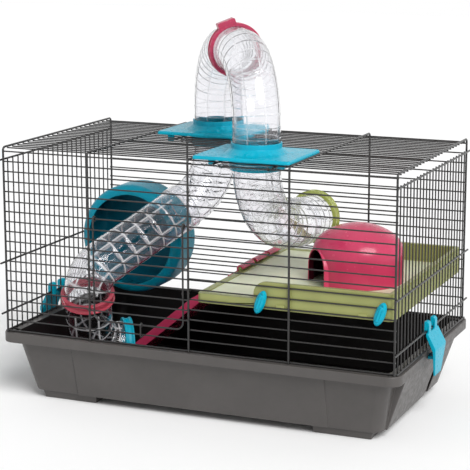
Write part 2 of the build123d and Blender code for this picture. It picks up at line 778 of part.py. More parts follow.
# Shelf: skirted deck, raised lip round three sides, lugs on the wires, hinge bead for the ramp
shelf_half = wire_inner_y - wire_seat_gap
shelf_top = shelf_bottom + shelf_skirt
deck_top = shelf_top - shelf_sink
shelf_length = shelf_right - shelf_left
shelf_middle = (shelf_left + shelf_right) / 2
bead_x = shelf_left + bead_radius
bead_z = shelf_top + bead_lift
ramp_far = ramp_near + ramp_width
knob_z = nearest_gap(line_z, shelf_bottom + shelf_skirt / 2)
lip_top = shelf_bottom + lip_rise
with BuildPart() as platform:
    with BuildSketch(Plane.XY.offset(shelf_bottom)):
        with Locations((shelf_middle, 0)):
            RectangleRounded(shelf_length, 2 * shelf_half, shelf_corner)
    extrude(amount=shelf_skirt)
    with BuildSketch(Plane.XY.offset(shelf_bottom)):
        with Locations((shelf_middle, 0)):
            Rectangle(shelf_length - 2 * shelf_wall, 2 * (shelf_half - shelf_wall))
    extrude(amount=shelf_skirt - shelf_sink - shelf_deck, mode=Mode.SUBTRACT)
    with BuildSketch(Plane.XY.offset(deck_top)):
        with Locations((shelf_middle, 0)):
            Rectangle(shelf_length - 2 * shelf_border, 2 * (shelf_half - shelf_border))
    extrude(amount=shelf_sink, mode=Mode.SUBTRACT)
    with BuildSketch(Plane.XY.offset(shelf_bottom)):
        with Locations((shelf_middle, 0)):
            RectangleRounded(shelf_length, 2 * shelf_half, shelf_corner)
            Rectangle(shelf_length - 2 * lip_thick, 2 * (shelf_half - lip_thick), mode=Mode.SUBTRACT)
        with Locations((lip_left, 0)):
            Rectangle(shelf_length, 3 * shelf_half, align=(Align.MAX, Align.CENTER), mode=Mode.SUBTRACT)
    extrude(amount=lip_rise)
    fillet(platform.edges().filter_by(Axis.Y).group_by(Axis.Z)[-1].sort_by(Axis.X)[:2], lip_corner)
    for side in (-1, 1):
        for x in (shelf_lug_left, shelf_lug_right):
            y0, y1 = sorted((side * shelf_half, side * (line_y + line_r - weld_gap)))
            z0 = line_seat(knob_z)
            box_between(x - lug_width / 2, x + lug_width / 2, y0, y1, z0, z0 + lug_height)
        for x in (knob_left_x, knob_right_x):
            y = side * (shelf_half - knob_depth / 2)
            with Locations((x, y, knob_z)):
                Cylinder(knob_shaft + running_gap / 2, knob_depth, rotation=(90, 0, 0), mode=Mode.SUBTRACT)
    box_between(shelf_left, shelf_left + 2 * bead_radius, ramp_near, ramp_far, shelf_bottom, shelf_top)
    bead_neck = bead_radius / 2
    box_between(bead_x - bead_neck, bead_x + bead_neck, ramp_near, ramp_far, shelf_top, bead_z)
    with Locations((bead_x, ramp_near + ramp_width / 2, bead_z)):
        Cylinder(bead_radius, ramp_width, rotation=(90, 0, 0))
write(platform, "platform")

# Turning locks: oval grip outside the wires, shaft in the shelf's lip
grip_inner = line_y + line_r + moving_gap
for side, place in ((-1, "front"), (1, "back")):
    for x, hand in ((knob_left_x, "left"), (knob_right_x, "right")):
        with BuildPart() as knob:
            outward = Plane(origin=(x, side * grip_inner, knob_z), x_dir=(1, 0, 0), z_dir=(0, side, 0))
            tilt = 90 + side * knob_tilt
            with BuildSketch(outward):
                Ellipse(knob_length / 2, knob_width / 2, rotation=tilt)
            extrude(amount=knob_edge)
            for height, inset in ((knob_edge, 0), (knob_thick, knob_bevel)):
                with BuildSketch(outward.offset(height)):
                    Ellipse(knob_length / 2 - inset, knob_width / 2 - inset, rotation=tilt)
            loft()
            with BuildSketch(outward.offset(knob_thick)):
                SlotOverall(knob_ridge_length, knob_ridge_width, rotation=tilt)
            extrude(amount=knob_ridge_rise)
            shaft_end = shelf_half - knob_depth + moving_gap
            with Locations((x, side * (grip_inner + shaft_end) / 2, knob_z)):
                Cylinder(knob_shaft, grip_inner - shaft_end, rotation=(90, 0, 0))
        write(knob, f"knob_{place}_{hand}")

# Ramp: ribbed plank with side rails, hooked over the shelf's bead
slope = radians(ramp_angle)
hook_inner = bead_radius + running_gap
hook_outer = hook_inner + hook_wall
plank_start = hook_outer - moving_gap
plank_under = ramp_thick * 0.6
plank_over = ramp_thick - plank_under
ramp_length = (bead_z - floor_top - moving_gap - plank_under * cos(slope)) / sin(slope)
ramp_heading = Vector(-cos(slope), 0, -sin(slope))
hook_first = radians(360 - ramp_angle - hook_opening)
hook_last = radians(360 - hook_stop)
hook_step = (ramp_width - hook_width) / (hook_count - 1)


def ramp_plane(y):
    """Plane across the ramp at y, with X down the slope from the bead and Y up from the plank."""
    return Plane(origin=(bead_x, y, bead_z), x_dir=ramp_heading, z_dir=(0, 1, 0))


with BuildPart() as ramp:
    with BuildSketch(ramp_plane(ramp_near)):
        with Locations((plank_start, -plank_under)):
            Rectangle(ramp_length - plank_start, ramp_thick, align=(Align.MIN, Align.MIN))
        rung_count = int((ramp_length - 2 * ramp_rung_pitch) / ramp_rung_pitch)
        for k in range(1, rung_count + 1):
            with Locations((plank_start + k * ramp_rung_pitch, plank_over)):
                Rectangle(ramp_rung, ramp_rung, align=(Align.CENTER, Align.MIN))
    extrude(amount=ramp_width)
    for y in (ramp_near, ramp_far - ramp_rail_wall):
        with BuildSketch(ramp_plane(y)):
            with BuildLine():
                Polyline(
                    (plank_start, -plank_under),
                    (plank_start + ramp_rail_taper, ramp_rail),
                    (ramp_length - ramp_rail, ramp_rail),
                    (ramp_length, -plank_under),
                    close=True,
                )
            make_face()
        extrude(amount=ramp_rail_wall)
    for k in range(hook_count):
        with BuildSketch(ramp_plane(ramp_near + k * hook_step)):
            Circle(hook_outer)
            Circle(hook_inner, mode=Mode.SUBTRACT)
            far = 4 * hook_outer
            middle = (hook_first + hook_last) / 2
            spread = [(far * cos(a), far * sin(a)) for a in (hook_first, middle, hook_last)]
            with BuildLine():
                Polyline((0, 0), *spread, close=True)
            make_face(mode=Mode.SUBTRACT)
        extrude(amount=hook_width)
write(ramp, "ramp")


def dome_half(radius, wall_height, height, shoulder):
    """Half outline of the house: upright wall, round shoulder, flatter crown."""
    crown_z = (height - shoulder) ** 2 - (radius - shoulder) ** 2 - wall_height ** 2
    crown_z /= 2 * (height - shoulder - wall_height)
    crown_r = height - crown_z
    inner = Vector(radius - shoulder, wall_height)
    way = (inner - Vector(0, crown_z)).normalized()
    meet = Vector(0, crown_z) + way * crown_r
    half_way = (way + Vector(1, 0)).normalized()
    top_way = (way + Vector(0, 1)).normalized()
    Line((0, 0), (radius, 0))
    Line((radius, 0), (radius, wall_height))
    ThreePointArc((radius, wall_height), inner + half_way * shoulder, meet)
    ThreePointArc(meet, Vector(0, crown_z) + top_way * crown_r, (0, height))
    Line((0, height), (0, 0))


# House: thin dome with an arched porch
house_base = Vector(house_x, house_y, deck_top)
house_axis = Axis(house_base, (0, 0, 1))
house_plane = Plane(origin=house_base, x_dir=(1, 0, 0), z_dir=(0, -1, 0))
door_out = Vector(house_door_heading[0], house_door_heading[1], 0).normalized()
door_plane = Plane(origin=house_base, x_dir=up.cross(door_out), z_dir=door_out)
inside_half = house_door_half - house_door_rim
inside_height = house_door_height - house_door_rim
with BuildPart() as house:
    with BuildSketch(house_plane):
        with BuildLine():
            dome_half(house_radius, house_wall_height, house_height, house_shoulder)
        make_face()
    revolve(axis=house_axis)
    with BuildSketch(door_plane):
        with Locations((0, house_door_height - house_door_half)):
            Circle(house_door_half)
        straight = house_door_height - house_door_half
        Rectangle(2 * house_door_half, straight, align=(Align.CENTER, Align.MIN))
        below = (Align.CENTER, Align.MAX)
        Rectangle(3 * house_door_half, 2 * house_door_half, align=below, mode=Mode.SUBTRACT)
    extrude(amount=door_face)
    with BuildSketch(house_plane):
        with BuildLine():
            dome_half(
                house_radius - house_thick,
                house_wall_height,
                house_height - house_thick,
                house_shoulder - house_thick,
            )
        make_face()
    revolve(axis=house_axis, mode=Mode.SUBTRACT)
    with BuildSketch(door_plane):
        with Locations((0, inside_height - inside_half)):
            Circle(inside_half)
        straight = inside_height - inside_half
        Rectangle(2 * inside_half, straight, align=(Align.CENTER, Align.MIN))
    extrude(amount=door_face + house_thick, mode=Mode.SUBTRACT)
write(house, "house")

# Clips: two fingers over the low end bar, a wide bowed lever and a catch in the tray's pocket
clip_hole = bar_r + running_gap
crown_z = clip_crown - clip_finger_leg
belly_out = max(clip_belly_out, rim_half_length - bar_x + clip_rim_gap + clip_thick)
belly_in = belly_out - clip_thick
tip_out = belly_in + clip_tip_thick / 2
catch_tip = pocket_x - bar_x - tray_wall + catch_gap


def clip_plane(side, y):
    """Plane across a clip at y, with X outwards from the bar and Y up."""
    return Plane(origin=(side * bar_x, y, low_bar_z), x_dir=(side, 0, 0), z_dir=(0, -side, 0))


for side, name in ((-1, "left"), (1, "right")):
    with BuildPart() as clip:
        with BuildSketch(clip_plane(side, clip_y + side * clip_width / 2)):
            with BuildLine():
                Polyline(
                    (clip_hole + moving_gap, -clip_hole),
                    (clip_finger_leg, -clip_hole),
                    (belly_out, -clip_belly_drop),
                    (belly_out, -clip_belly_drop - clip_thick),
                    (tip_out, -clip_tip_drop),
                    (tip_out - clip_tip_thick, -clip_tip_drop),
                    (belly_in, -clip_belly_drop - clip_thick),
                    (clip_hole + moving_gap, -clip_hole - clip_thick),
                    close=True,
                )
            make_face()
        extrude(amount=clip_width)
        for edge in (-1, 1):
            with BuildSketch(Plane(origin=(0, clip_y, low_bar_z), x_dir=(0, 1, 0), z_dir=(1, 0, 0))):
                with BuildLine():
                    Polyline(
                        (edge * clip_width / 2, -clip_belly_drop - clip_thick),
                        (edge * clip_width, -clip_belly_drop - clip_thick),
                        (edge * clip_width, -2 * clip_tip_drop),
                        (edge * clip_tip_width / 2, -2 * clip_tip_drop),
                        (edge * clip_tip_width / 2, -clip_tip_drop),
                        close=True,
                    )
                make_face()
            extrude(amount=2 * side * bar_x, mode=Mode.SUBTRACT)
        catch_ends = sorted((side * (bar_x + catch_tip), side * (bar_x + belly_in)))
        catch_low = catch_z - catch_height / 2
        half = catch_width / 2
        box_between(*catch_ends, clip_y - half, clip_y + half, catch_low, catch_low + catch_height)
        for gap in (-1, 1):
            finger_y = clip_y + gap * upright_pitch
            with BuildSketch(clip_plane(side, finger_y + side * clip_finger / 2)):
                with Locations((0, crown_z)):
                    Circle(clip_finger_leg)
                with Locations((0, (crown_z - clip_inner_lap) / 2)):
                    Rectangle(2 * clip_finger_leg, crown_z + clip_inner_lap)
                Circle(clip_hole, mode=Mode.SUBTRACT)
                with Locations((0, -clip_inner_lap)):
                    Rectangle(2 * clip_hole, 2 * clip_inner_lap, mode=Mode.SUBTRACT)
            extrude(amount=clip_finger)
    write(clip, f"clip_{name}")
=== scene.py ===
from math import acos, cos, pi, radians, sin

import bmesh
import bpy
from bpy.props import FloatProperty, FloatVectorProperty, IntProperty, PointerProperty
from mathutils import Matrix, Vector


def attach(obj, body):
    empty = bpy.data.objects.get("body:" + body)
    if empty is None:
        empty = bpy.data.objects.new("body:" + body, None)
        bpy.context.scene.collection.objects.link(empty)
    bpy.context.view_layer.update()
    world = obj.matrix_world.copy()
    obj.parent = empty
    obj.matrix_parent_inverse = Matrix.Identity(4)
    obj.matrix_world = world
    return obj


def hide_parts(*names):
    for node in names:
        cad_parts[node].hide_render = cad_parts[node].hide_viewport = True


bl_info = {
    "name": "Hamster Cage",
    "version": (1, 0, 0),
    "blender": (4, 5, 0),
    "location": "View3D > Sidebar > Hamster Cage",
    "description": "Dresses a wire hamster cage with its tubes, wheel, shelf, ramp and house",
    "category": "Object",
}

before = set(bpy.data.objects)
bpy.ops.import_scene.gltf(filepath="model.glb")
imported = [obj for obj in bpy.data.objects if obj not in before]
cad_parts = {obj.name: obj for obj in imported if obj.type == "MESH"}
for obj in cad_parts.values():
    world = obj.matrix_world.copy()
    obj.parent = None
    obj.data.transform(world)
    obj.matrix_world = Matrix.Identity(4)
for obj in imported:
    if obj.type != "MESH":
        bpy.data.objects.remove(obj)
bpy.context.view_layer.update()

MM = 0.001
UP = Vector((0, 0, 1))
DOWN = Vector((0, 0, -1))

# Faces that turn by less than this make one flat face
FLAT = radians(0.6)

# Places of the wires in millimetres, as in the solids
HOOP_X = (-243.0, -131.5, -4.0, 119.0, 243.0)
HOOP_BEND = 4.3
HALF_DEPTH = 137.6
ROOF_Z = 309.6
RIM_Z = 85.0
LINE_Y = 135.4
LINE_END = 243.8
LINE_TOP = 304.4
LINE_COUNT = 18
LINE_SINK = 0.8
ROOF_LINE_Z = 307.4
ROOF_LINE_COUNT = 22
HINGE_LINE = 6
BAR_X = 245.55
BAR_HEIGHTS = (86.2, 109.0, 170.5, 294.5)
BAR_OVERHANG = 8.0
UPRIGHT_X = 243.45
UPRIGHT_PITCH = 12.1
UPRIGHT_COUNT = 22
FOOT_WIRE_Y = 135.05
FOOT_WIRE_END = 242.55

# Sides of a straight and of a bent wire, and steps in a bend
STRAIGHT_WIRE_SIDES = 10
BENT_WIRE_SIDES = 12
BEND_STEPS = 8

# Roof holes and the wires round them
FRONT_HOLE = Vector((60.5, -90.0, 0))
BACK_HOLE = Vector((-58.5, 67.0, 0))
HOLE_HALF = 36.0
HOLE_REACH = 34.0
HOLE_WIRE_Z = 305.3

# Door and latch
DOOR_X = (-125.0, -10.5)
DOOR_Y = -138.15
DOOR_BOTTOM = 111.6
DOOR_CORNER = 9.0
DOOR_EYE = 2.75
DOOR_LINE_OUT = 2.0
DOOR_LINE_COUNT = 9
LATCH_X = -64.0
LATCH_EYE = 2.1
LATCH_BEND = 1.2
LATCH_TOE = 6.1
LATCH_TOE_Z = 97.5

# Clear tubes from the roof fittings on: the way each bend turns, its lead, radius and tail
UPPER_SEAT = 313.25
LOWER_SEAT = 311.75
ARCH_LEAD = 30.5
ARCH_RADIUS = 78.0
FRONT_WAY = Vector((0.133, 0.991, 0)).normalized()
FRONT_LEAD = 11.5
FRONT_RADIUS = 83.0
FRONT_TAIL = 15.0
FRONT_END = 48.0
BACK_WAY = Vector((-0.476, -0.879, 0)).normalized()
BACK_LEAD = 17.8
BACK_RADIUS = 75.0
BACK_TURN = radians(65.8)
BACK_TAIL = 14.0
SLOPE_WAY = Vector((-0.141, 0.336, -0.93)).normalized()
SLOPE_LEAD = 127.7
SLOPE_RADIUS = 30.0
SLOPE_TAIL = 6.0
FOOT_WAY = Vector((0.816, 0.578, 0)).normalized()
FOOT_LEAD = 41.0
FOOT_RADIUS = 36.0
FOOT_TAIL = 17.0

# Ribs of the tubes: step and sides of the mesh, bare length at the ends and the fade next to it, in metres
TUBE_STEP = 0.00075
TUBE_SIDES = 160
RIB_MARGIN = 0.013
RIB_FADE = 0.0015

# Ribs of a run: shares of the set height and width, number along the tube and how milky they are
FINE_RIBS = {"height": 1.0, "width": 1.0, "count": 8.0, "milk": 0.35}
COARSE_RIBS = {"height": 1.6, "width": 2.0, "count": 6.0, "milk": 0.95}
COARSE_RUNS = ("slope", "foot")

# Half outlines of a lipped band and a coupling, as radius and distance from the middle
BAND_HALF = (
    (27.8, 5.5), (31.6, 5.5), (32.1, 5.2), (32.25, 4.7), (32.25, 3.5), (31.9, 3.1), (31.1, 2.8), (30.9, 2.4),
)
BAND_INSET = -5.5
COUPLING_HALF = ((27.8, 5.0), (27.8, 6.5), (29.3, 6.5), (29.6, 6.1), (29.6, 5.0))
COUPLING_MILK = 0.8
MILKY_RIM = 0.9

# Wheel, shelf, house and tray
WHEEL_MIDDLE = Vector((-171.5, 74.5, 168.0))
WHEEL_LIP_BACK = 48.3
TREAD_RING = 67.2
TREAD_SIZE = Vector((1.4, 1.6, 33.0))
DECK_Z = 155.0
DECK_SLACK = 0.3
LEVEL = 0.95
HOUSE_MIDDLE = Vector((153.0, -1.0, 170.0))
TRAY_INSIDE_X = 236.0
TRAY_INSIDE_Y = 133.5
TRAY_FLOOR_LOW = 12.0
TRAY_FLOOR_HIGH = 14.0
TRAY_SLANT = 0.2

# Stage, in metres: the key light, the camera of the photograph and the floor
KEY_SPOT = Vector((1.35, -1.15, 1.75))
KEY_AIM = Vector((0, 0, 0.2))
KEY_ANGLE = radians(35)
CAMERA_SPOT = Vector((0.7687, -1.8058, 0.6079))
CAMERA_AIM = Vector((0.00969, 0, 0.21625))
CAMERA_SHIFT = (-0.0235, -0.0319)
CAMERA_SENSOR = 36.0
CAMERA_REACH = 20.0
FLOOR_HALF = 6.0

# Stretches of a noise value that a roughness and a colour spread over
NOISE_SPAN = (0.3, 0.7)
CLOUD_SPAN = (0.32, 0.68)


def colour_property(name, description, default):
    """Colour that a user may change."""
    return FloatVectorProperty(
        name=name, description=description, default=default, subtype="COLOR", size=3, min=0, max=1
    )


def length_property(name, description, default):
    """Length in metres that a user may change."""
    return FloatProperty(
        name=name, description=description, default=default, min=0, unit="LENGTH", precision=5
    )


class CageColours(bpy.types.PropertyGroup):
    """Colours of the plastics and the wires"""

    tray: colour_property("Tray", "Outside of the tray", (0.07, 0.064, 0.061))
    tray_inside: colour_property("Tray inside", "Inside of the tray", (0.006, 0.005, 0.005))
    wire: colour_property("Wire", "Coating of the wires", (0.011, 0.01, 0.01))
    blue: colour_property("Blue", "Roof fittings, locks, clips and foot band", (0.0, 0.36, 0.5))
    # Deep blue: the back locks painted darker than the front ones, as shade
    deep_blue: colour_property("Deep blue", "Back locks of the shelf", (0.0, 0.14, 0.24))
    teal: colour_property("Teal", "Running wheel", (0.0, 0.28, 0.4))
    # Dark teal: painted shade inside the wheel drum and on its treads, and the colour of the carrier
    teal_dark: colour_property("Dark teal", "Inside of the wheel and its carrier", (0.0, 0.13, 0.2))
    crimson: colour_property("Crimson", "House and ramp", (0.58, 0.045, 0.12))
    # Dark crimson: painted shade inside the house
    crimson_dark: colour_property("Dark crimson", "Inside of the house", (0.05, 0.003, 0.01))
    band_red: colour_property("Band red", "Band at the top of the arch", (0.42, 0.03, 0.085))
    olive: colour_property("Olive", "Shelf", (0.275, 0.29, 0.095))
    deck: colour_property("Deck", "Sunk deck of the shelf", (0.72, 0.75, 0.53))
    lime: colour_property("Lime", "Band at the end of the front tube", (0.5, 0.56, 0.15))
    rose: colour_property("Rose", "Band at the foot of the sloping tube", (0.68, 0.1, 0.15))
    clear: colour_property("Clear", "Tint of the clear tubes", (0.94, 0.94, 0.96))


class CageSizes(bpy.types.PropertyGroup):
    """Sizes of the wires, the ribs and the treads"""

    hoop_radius: length_property("Hoop radius", "Radius of the frame wires", 0.0013)
    line_radius: length_property("Line radius", "Radius of the fine wires", 0.00085)
    bar_radius: length_property("Bar radius", "Radius of the end bars", 0.0012)
    door_radius: length_property("Door radius", "Radius of the door's frame wire", 0.0011)
    latch_radius: length_property("Latch radius", "Radius of the latch wire", 0.0009)
    line_pitch: length_property("Line pitch", "Distance between fine wires", 0.01205)
    tube_radius: length_property("Tube radius", "Outer radius of the clear tubes", 0.02775)
    tube_wall: length_property("Tube wall", "Wall of the clear tubes", 0.0016)
    rib_height: length_property("Rib height", "Height of the ribs on the clear tubes", 0.00024)
    rib_width: length_property("Rib width", "Half width of a rib on the clear tubes", 0.0009)
    ring_pitch: length_property("Ring pitch", "Distance between ribs round a clear elbow", 0.0125)
    coarse_pitch: length_property("Coarse pitch", "Distance between ribs round the sloping tube", 0.021)
    tread_count: IntProperty(
        name="Treads", description="Treads in the running wheel", default=44, min=8, max=90
    )


class CageStage(bpy.types.PropertyGroup):
    """Floor, light and camera"""

    floor: colour_property("Floor", "Colour of the floor", (0.96, 0.96, 0.96))
    key_power: FloatProperty(
        name="Key", description="Strength of the key light", default=3.0, min=0, subtype="UNSIGNED"
    )
    surroundings: FloatProperty(
        name="Surroundings", description="Light from all round", default=0.45, min=0, subtype="UNSIGNED"
    )
    lens: FloatProperty(
        name="Lens", description="Focal length of the camera", default=126.95, min=1, unit="CAMERA"
    )


def colours():
    """Colours set in the scene."""
    return bpy.context.scene.cage_colours


def sizes():
    """Sizes set in the scene."""
    return bpy.context.scene.cage_sizes


# Materials

def new_material(name):
    """Material of this name with its shader, or with none where it is already made."""
    material = bpy.data.materials.get(name)
    if material:
        return material, None
    material = bpy.data.materials.new(name)
    material.use_nodes = True
    return material, material.node_tree.nodes["Principled BSDF"]


def link(material, a, b):
    """Joins two sockets of a material."""
    material.node_tree.links.new(a, b)


def noise(material, scale, detail=3.0):
    """Noise on object coordinates; scale is per metre."""
    nodes = material.node_tree.nodes
    place = nodes.new("ShaderNodeTexCoord")
    texture = nodes.new("ShaderNodeTexNoise")
    texture.inputs["Scale"].default_value = scale
    texture.inputs["Detail"].default_value = detail
    link(material, place.outputs["Object"], texture.inputs["Vector"])
    return texture.outputs["Fac"]


def spread(material, value, low, high):
    """Maps a noise value to a range."""
    node = material.node_tree.nodes.new("ShaderNodeMapRange")
    node.inputs["From Min"].default_value, node.inputs["From Max"].default_value = NOISE_SPAN
    node.inputs["To Min"].default_value = low
    node.inputs["To Max"].default_value = high
    link(material, value, node.inputs["Value"])
    return node.outputs["Result"]


def mottled(material, colour, scale, amount):
    """Colour with soft cloudy variation."""
    nodes = material.node_tree.nodes
    ramp = nodes.new("ShaderNodeValToRGB")
    for stop, position, share in zip(ramp.color_ramp.elements, CLOUD_SPAN, (1 - amount, 1 + amount)):
        stop.position = position
        stop.color = [min(1, c * share) for c in colour] + [1]
    link(material, noise(material, scale), ramp.inputs["Fac"])
    return ramp.outputs["Color"]


def roughen(material, shader, scale, strength, distance):
    """Fine moulded surface as a bump."""
    bump = material.node_tree.nodes.new("ShaderNodeBump")
    bump.inputs["Strength"].default_value = strength
    bump.inputs["Distance"].default_value = distance
    link(material, noise(material, scale, detail=1.0), bump.inputs["Height"])
    link(material, bump.outputs["Normal"], shader.inputs["Normal"])


def plastic(name, colour, gloss, grain, bump, glow=0.0, shine=0.5):
    """Moulded plastic: flow marks in the colour, uneven gloss and a fine skin."""
    material, shader = new_material(name)
    if shader is None:
        return material
    link(material, mottled(material, colour, scale=28, amount=0.07), shader.inputs["Base Color"])
    uneven = spread(material, noise(material, scale=160), low=gloss * 0.8, high=gloss * 1.25)
    link(material, uneven, shader.inputs["Roughness"])
    roughen(material, shader, scale=grain, strength=bump, distance=0.0002)
    shader.inputs["IOR"].default_value = 1.5
    shader.inputs["Specular IOR Level"].default_value = shine
    shader.inputs["Subsurface Weight"].default_value = glow
    shader.inputs["Subsurface Scale"].default_value = 0.004
    return material


def coated_wire(name, colour):
    """Dark coated steel wire: smooth enamel with small thick and thin places."""
    material, shader = new_material(name)
    if shader is None:
        return material
    link(material, mottled(material, colour, scale=240, amount=0.35), shader.inputs["Base Color"])
    uneven = spread(material, noise(material, scale=700), low=0.28, high=0.5)
    link(material, uneven, shader.inputs["Roughness"])
    roughen(material, shader, scale=1500, strength=0.15, distance=0.0001)
    shader.inputs["Specular IOR Level"].default_value = 0.5
    shader.inputs["Coat Weight"].default_value = 0.2
    shader.inputs["Coat Roughness"].default_value = 0.18
    return material


def clear_plastic(name, colour, clear=1.0, rib_clear=0.45):
    """Clear moulded tube wall with faint flow haze, milkier on the ribs."""
    material, shader = new_material(name)
    if shader is None:
        return material
    nodes = material.node_tree.nodes
    link(material, mottled(material, colour, scale=60, amount=0.02), shader.inputs["Base Color"])
    uneven = spread(material, noise(material, scale=90), low=0.02, high=0.08)
    link(material, uneven, shader.inputs["Roughness"])
    roughen(material, shader, scale=60, strength=0.02, distance=0.0002)
    rib = nodes.new("ShaderNodeAttribute")
    rib.attribute_name = "rib"
    see_through = nodes.new("ShaderNodeMapRange")
    see_through.inputs["To Min"].default_value = clear
    see_through.inputs["To Max"].default_value = rib_clear
    link(material, rib.outputs["Fac"], see_through.inputs["Value"])
    link(material, see_through.outputs["Result"], shader.inputs["Transmission Weight"])
    shader.inputs["IOR"].default_value = 1.38
    return material


# Meshes

def place(name, mesh):
    """Object at the origin holding a finished mesh."""
    obj = bpy.data.objects.new(name, mesh)
    bpy.context.scene.collection.objects.link(obj)
    return obj


def settle(obj, body, slot, *nodes):
    """Ties a finished piece to its body and hides the solids it stands for; the slot for its finish is not
    used.
    """
    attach(obj, body)
    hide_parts(*nodes)


def evaluated(obj):
    """Plain mesh of an object with its modifiers applied; the object goes."""
    graph = bpy.context.evaluated_depsgraph_get()
    mesh = bpy.data.meshes.new_from_object(obj.evaluated_get(graph), depsgraph=graph)
    bpy.data.objects.remove(obj)
    return mesh


def smooth(mesh, angle):
    """Smooth faces with sharp edges past an angle in degrees."""
    mesh.polygons.foreach_set("use_smooth", [True] * len(mesh.polygons))
    mesh.set_sharp_from_angle(angle=radians(angle))
    return mesh


def joined(name, meshes):
    """One mesh from several that use the same materials."""
    bm = bmesh.new()
    materials = []
    for mesh in meshes:
        start = len(bm.faces)
        bm.from_mesh(mesh)
        bm.faces.ensure_lookup_table()
        for face in bm.faces[start:]:
            material = mesh.materials[face.material_index] if mesh.materials else None
            if material not in materials:
                materials.append(material)
            face.material_index = materials.index(material)
    result = bpy.data.meshes.new(name)
    bm.to_mesh(result)
    bm.free()
    for material in materials:
        result.materials.append(material)
    for mesh in meshes:
        bpy.data.meshes.remove(mesh)
    return result


def flat_region(first):
    """Triangles that make up one flat face."""
    region = {first}
    queue = [first]
    while queue:
        for edge in queue.pop().edges:
            for face in edge.link_faces:
                if face not in region and face.normal.dot(first.normal) > cos(FLAT):
                    region.add(face)
                    queue.append(face)
    return region


def loop_count(edges):
    """Number of separate loops in a set of edges."""
    count = 0
    while edges:
        count += 1
        queue = [edges.pop()]
        while queue:
            for vert in queue.pop().verts:
                for edge in edges.intersection(vert.link_edges):
                    edges.remove(edge)
                    queue.append(edge)
    return count


def merge_flats(bm):
    """Merges the triangles of each flat face, but not round a hole."""
    kept = set()
    seen = set()
    for face in bm.faces:
        if face in seen:
            continue
        region = flat_region(face)
        seen |= region
        sides = {edge for part in region for edge in part.edges}
        if loop_count({edge for edge in sides if len(region.intersection(edge.link_faces)) == 1}) > 1:
            kept |= region
    verts = [v for v in bm.verts if not kept.intersection(v.link_faces)]
    edges = [e for e in bm.edges if not kept.intersection(e.link_faces)]
    bmesh.ops.dissolve_limit(bm, angle_limit=FLAT, verts=verts, edges=edges)


def solid_copy(name, material, bevel=0.5, segments=2):
    """Merged copy of a solid with its edges rounded."""
    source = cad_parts[name]
    bm = bmesh.new()
    bm.from_mesh(source.data)
    bm.transform(source.matrix_world)
    bmesh.ops.remove_doubles(bm, verts=bm.verts, dist=1e-6)
    merge_flats(bm)
    mesh = bpy.data.meshes.new(name)
    bm.to_mesh(mesh)
    bm.free()
    mesh.materials.append(material)
    obj = place(f"{name}_raw", mesh)
    modifier = obj.modifiers.new("Rounded edges", "BEVEL")
    modifier.width = bevel * MM
    modifier.segments = segments
    modifier.limit_method = "ANGLE"
    modifier.angle_limit = radians(38)
    modifier.use_clamp_overlap = False
    modifier.miter_outer = "MITER_ARC"
    return smooth(evaluated(obj), angle=35)


def even(mesh):
    """Same mesh with normals weighted by area, so that flat faces stay flat beside rounded edges."""
    obj = place("evening", mesh)
    modifier = obj.modifiers.new("Even shading", "WEIGHTED_NORMAL")
    modifier.keep_sharp = True
    modifier.weight = 90
    return evaluated(obj)


def dress(name, body, slot, material, bevel=0.5, segments=2):
    """Rounded copy of a solid, standing for it."""
    obj = place(f"{name}_shell", even(solid_copy(name, material, bevel, segments)))
    settle(obj, body, slot, name)


def lathe(name, outline, origin, axis, material, steps=96, milk=0.0):
    """Closed ring from a loop of (radius, along) points in millimetres, milky at its rims."""
    side = axis.orthogonal().normalized()
    other = axis.cross(side).normalized()
    bm = bmesh.new()
    rings = []
    for k in range(steps):
        way = side * cos(2 * pi * k / steps) + other * sin(2 * pi * k / steps)
        rings.append([bm.verts.new((origin + way * r + axis * a) * MM) for r, a in outline])
    count = len(outline)
    for k in range(steps):
        here, after = rings[k], rings[(k + 1) % steps]
        for i in range(count):
            j = (i + 1) % count
            bm.faces.new((here[i], here[j], after[j], after[i]))
    bmesh.ops.recalc_face_normals(bm, faces=bm.faces)
    mesh = bpy.data.meshes.new(name)
    bm.to_mesh(mesh)
    bm.free()
    mesh.materials.append(material)
    reach = max(along for radius, along in outline)
    rims = [milk if abs(along) > MILKY_RIM * reach else 0.0 for radius, along in outline]
    mesh.attributes.new("rib", "FLOAT", "POINT").data.foreach_set("value", rims * steps)
    return smooth(mesh, angle=50)


def mirrored(half):
    """Closed outline from its half on one side of the middle."""
    return [(radius, -along) for radius, along in half] + list(reversed(half))


# Node trees

class Tree:
    """Geometry tree under construction, with named inputs."""

    def __init__(self, name, inputs):
        self.group = bpy.data.node_groups.new(name, "GeometryNodeTree")
        face = self.group.interface
        face.new_socket(name="Geometry", in_out="OUTPUT", socket_type="NodeSocketGeometry")
        for label, kind in inputs:
            face.new_socket(name=label, in_out="INPUT", socket_type=f"NodeSocket{kind}")
        self.given = self.add("NodeGroupInput")
        self.result = self.add("NodeGroupOutput")

    def add(self, kind, **settings):
        """New node with these settings."""
        node = self.group.nodes.new(kind)
        for key, value in settings.items():
            setattr(node, key, value)
        return node

    def wire(self, a, b):
        """Joins two sockets."""
        self.group.links.new(a, b)

    def math(self, operation, a, b=None):
        """Math node of two values, each a socket or a number."""
        node = self.add("ShaderNodeMath", operation=operation)
        for socket, value in zip(node.inputs, (a, b)):
            if value is None:
                continue
            if isinstance(value, (int, float)):
                socket.default_value = value
            else:
                self.wire(value, socket)
        return node.outputs[0]

    def close(self, geometry):
        """Ends the tree in real faces with the material set."""
        real = self.add("GeometryNodeRealizeInstances")
        paint = self.add("GeometryNodeSetMaterial")
        self.wire(geometry, real.inputs["Geometry"])
        self.wire(real.outputs["Geometry"], paint.inputs["Geometry"])
        self.wire(self.given.outputs["Material"], paint.inputs["Material"])
        self.wire(paint.outputs["Geometry"], self.result.inputs["Geometry"])
        return self.group


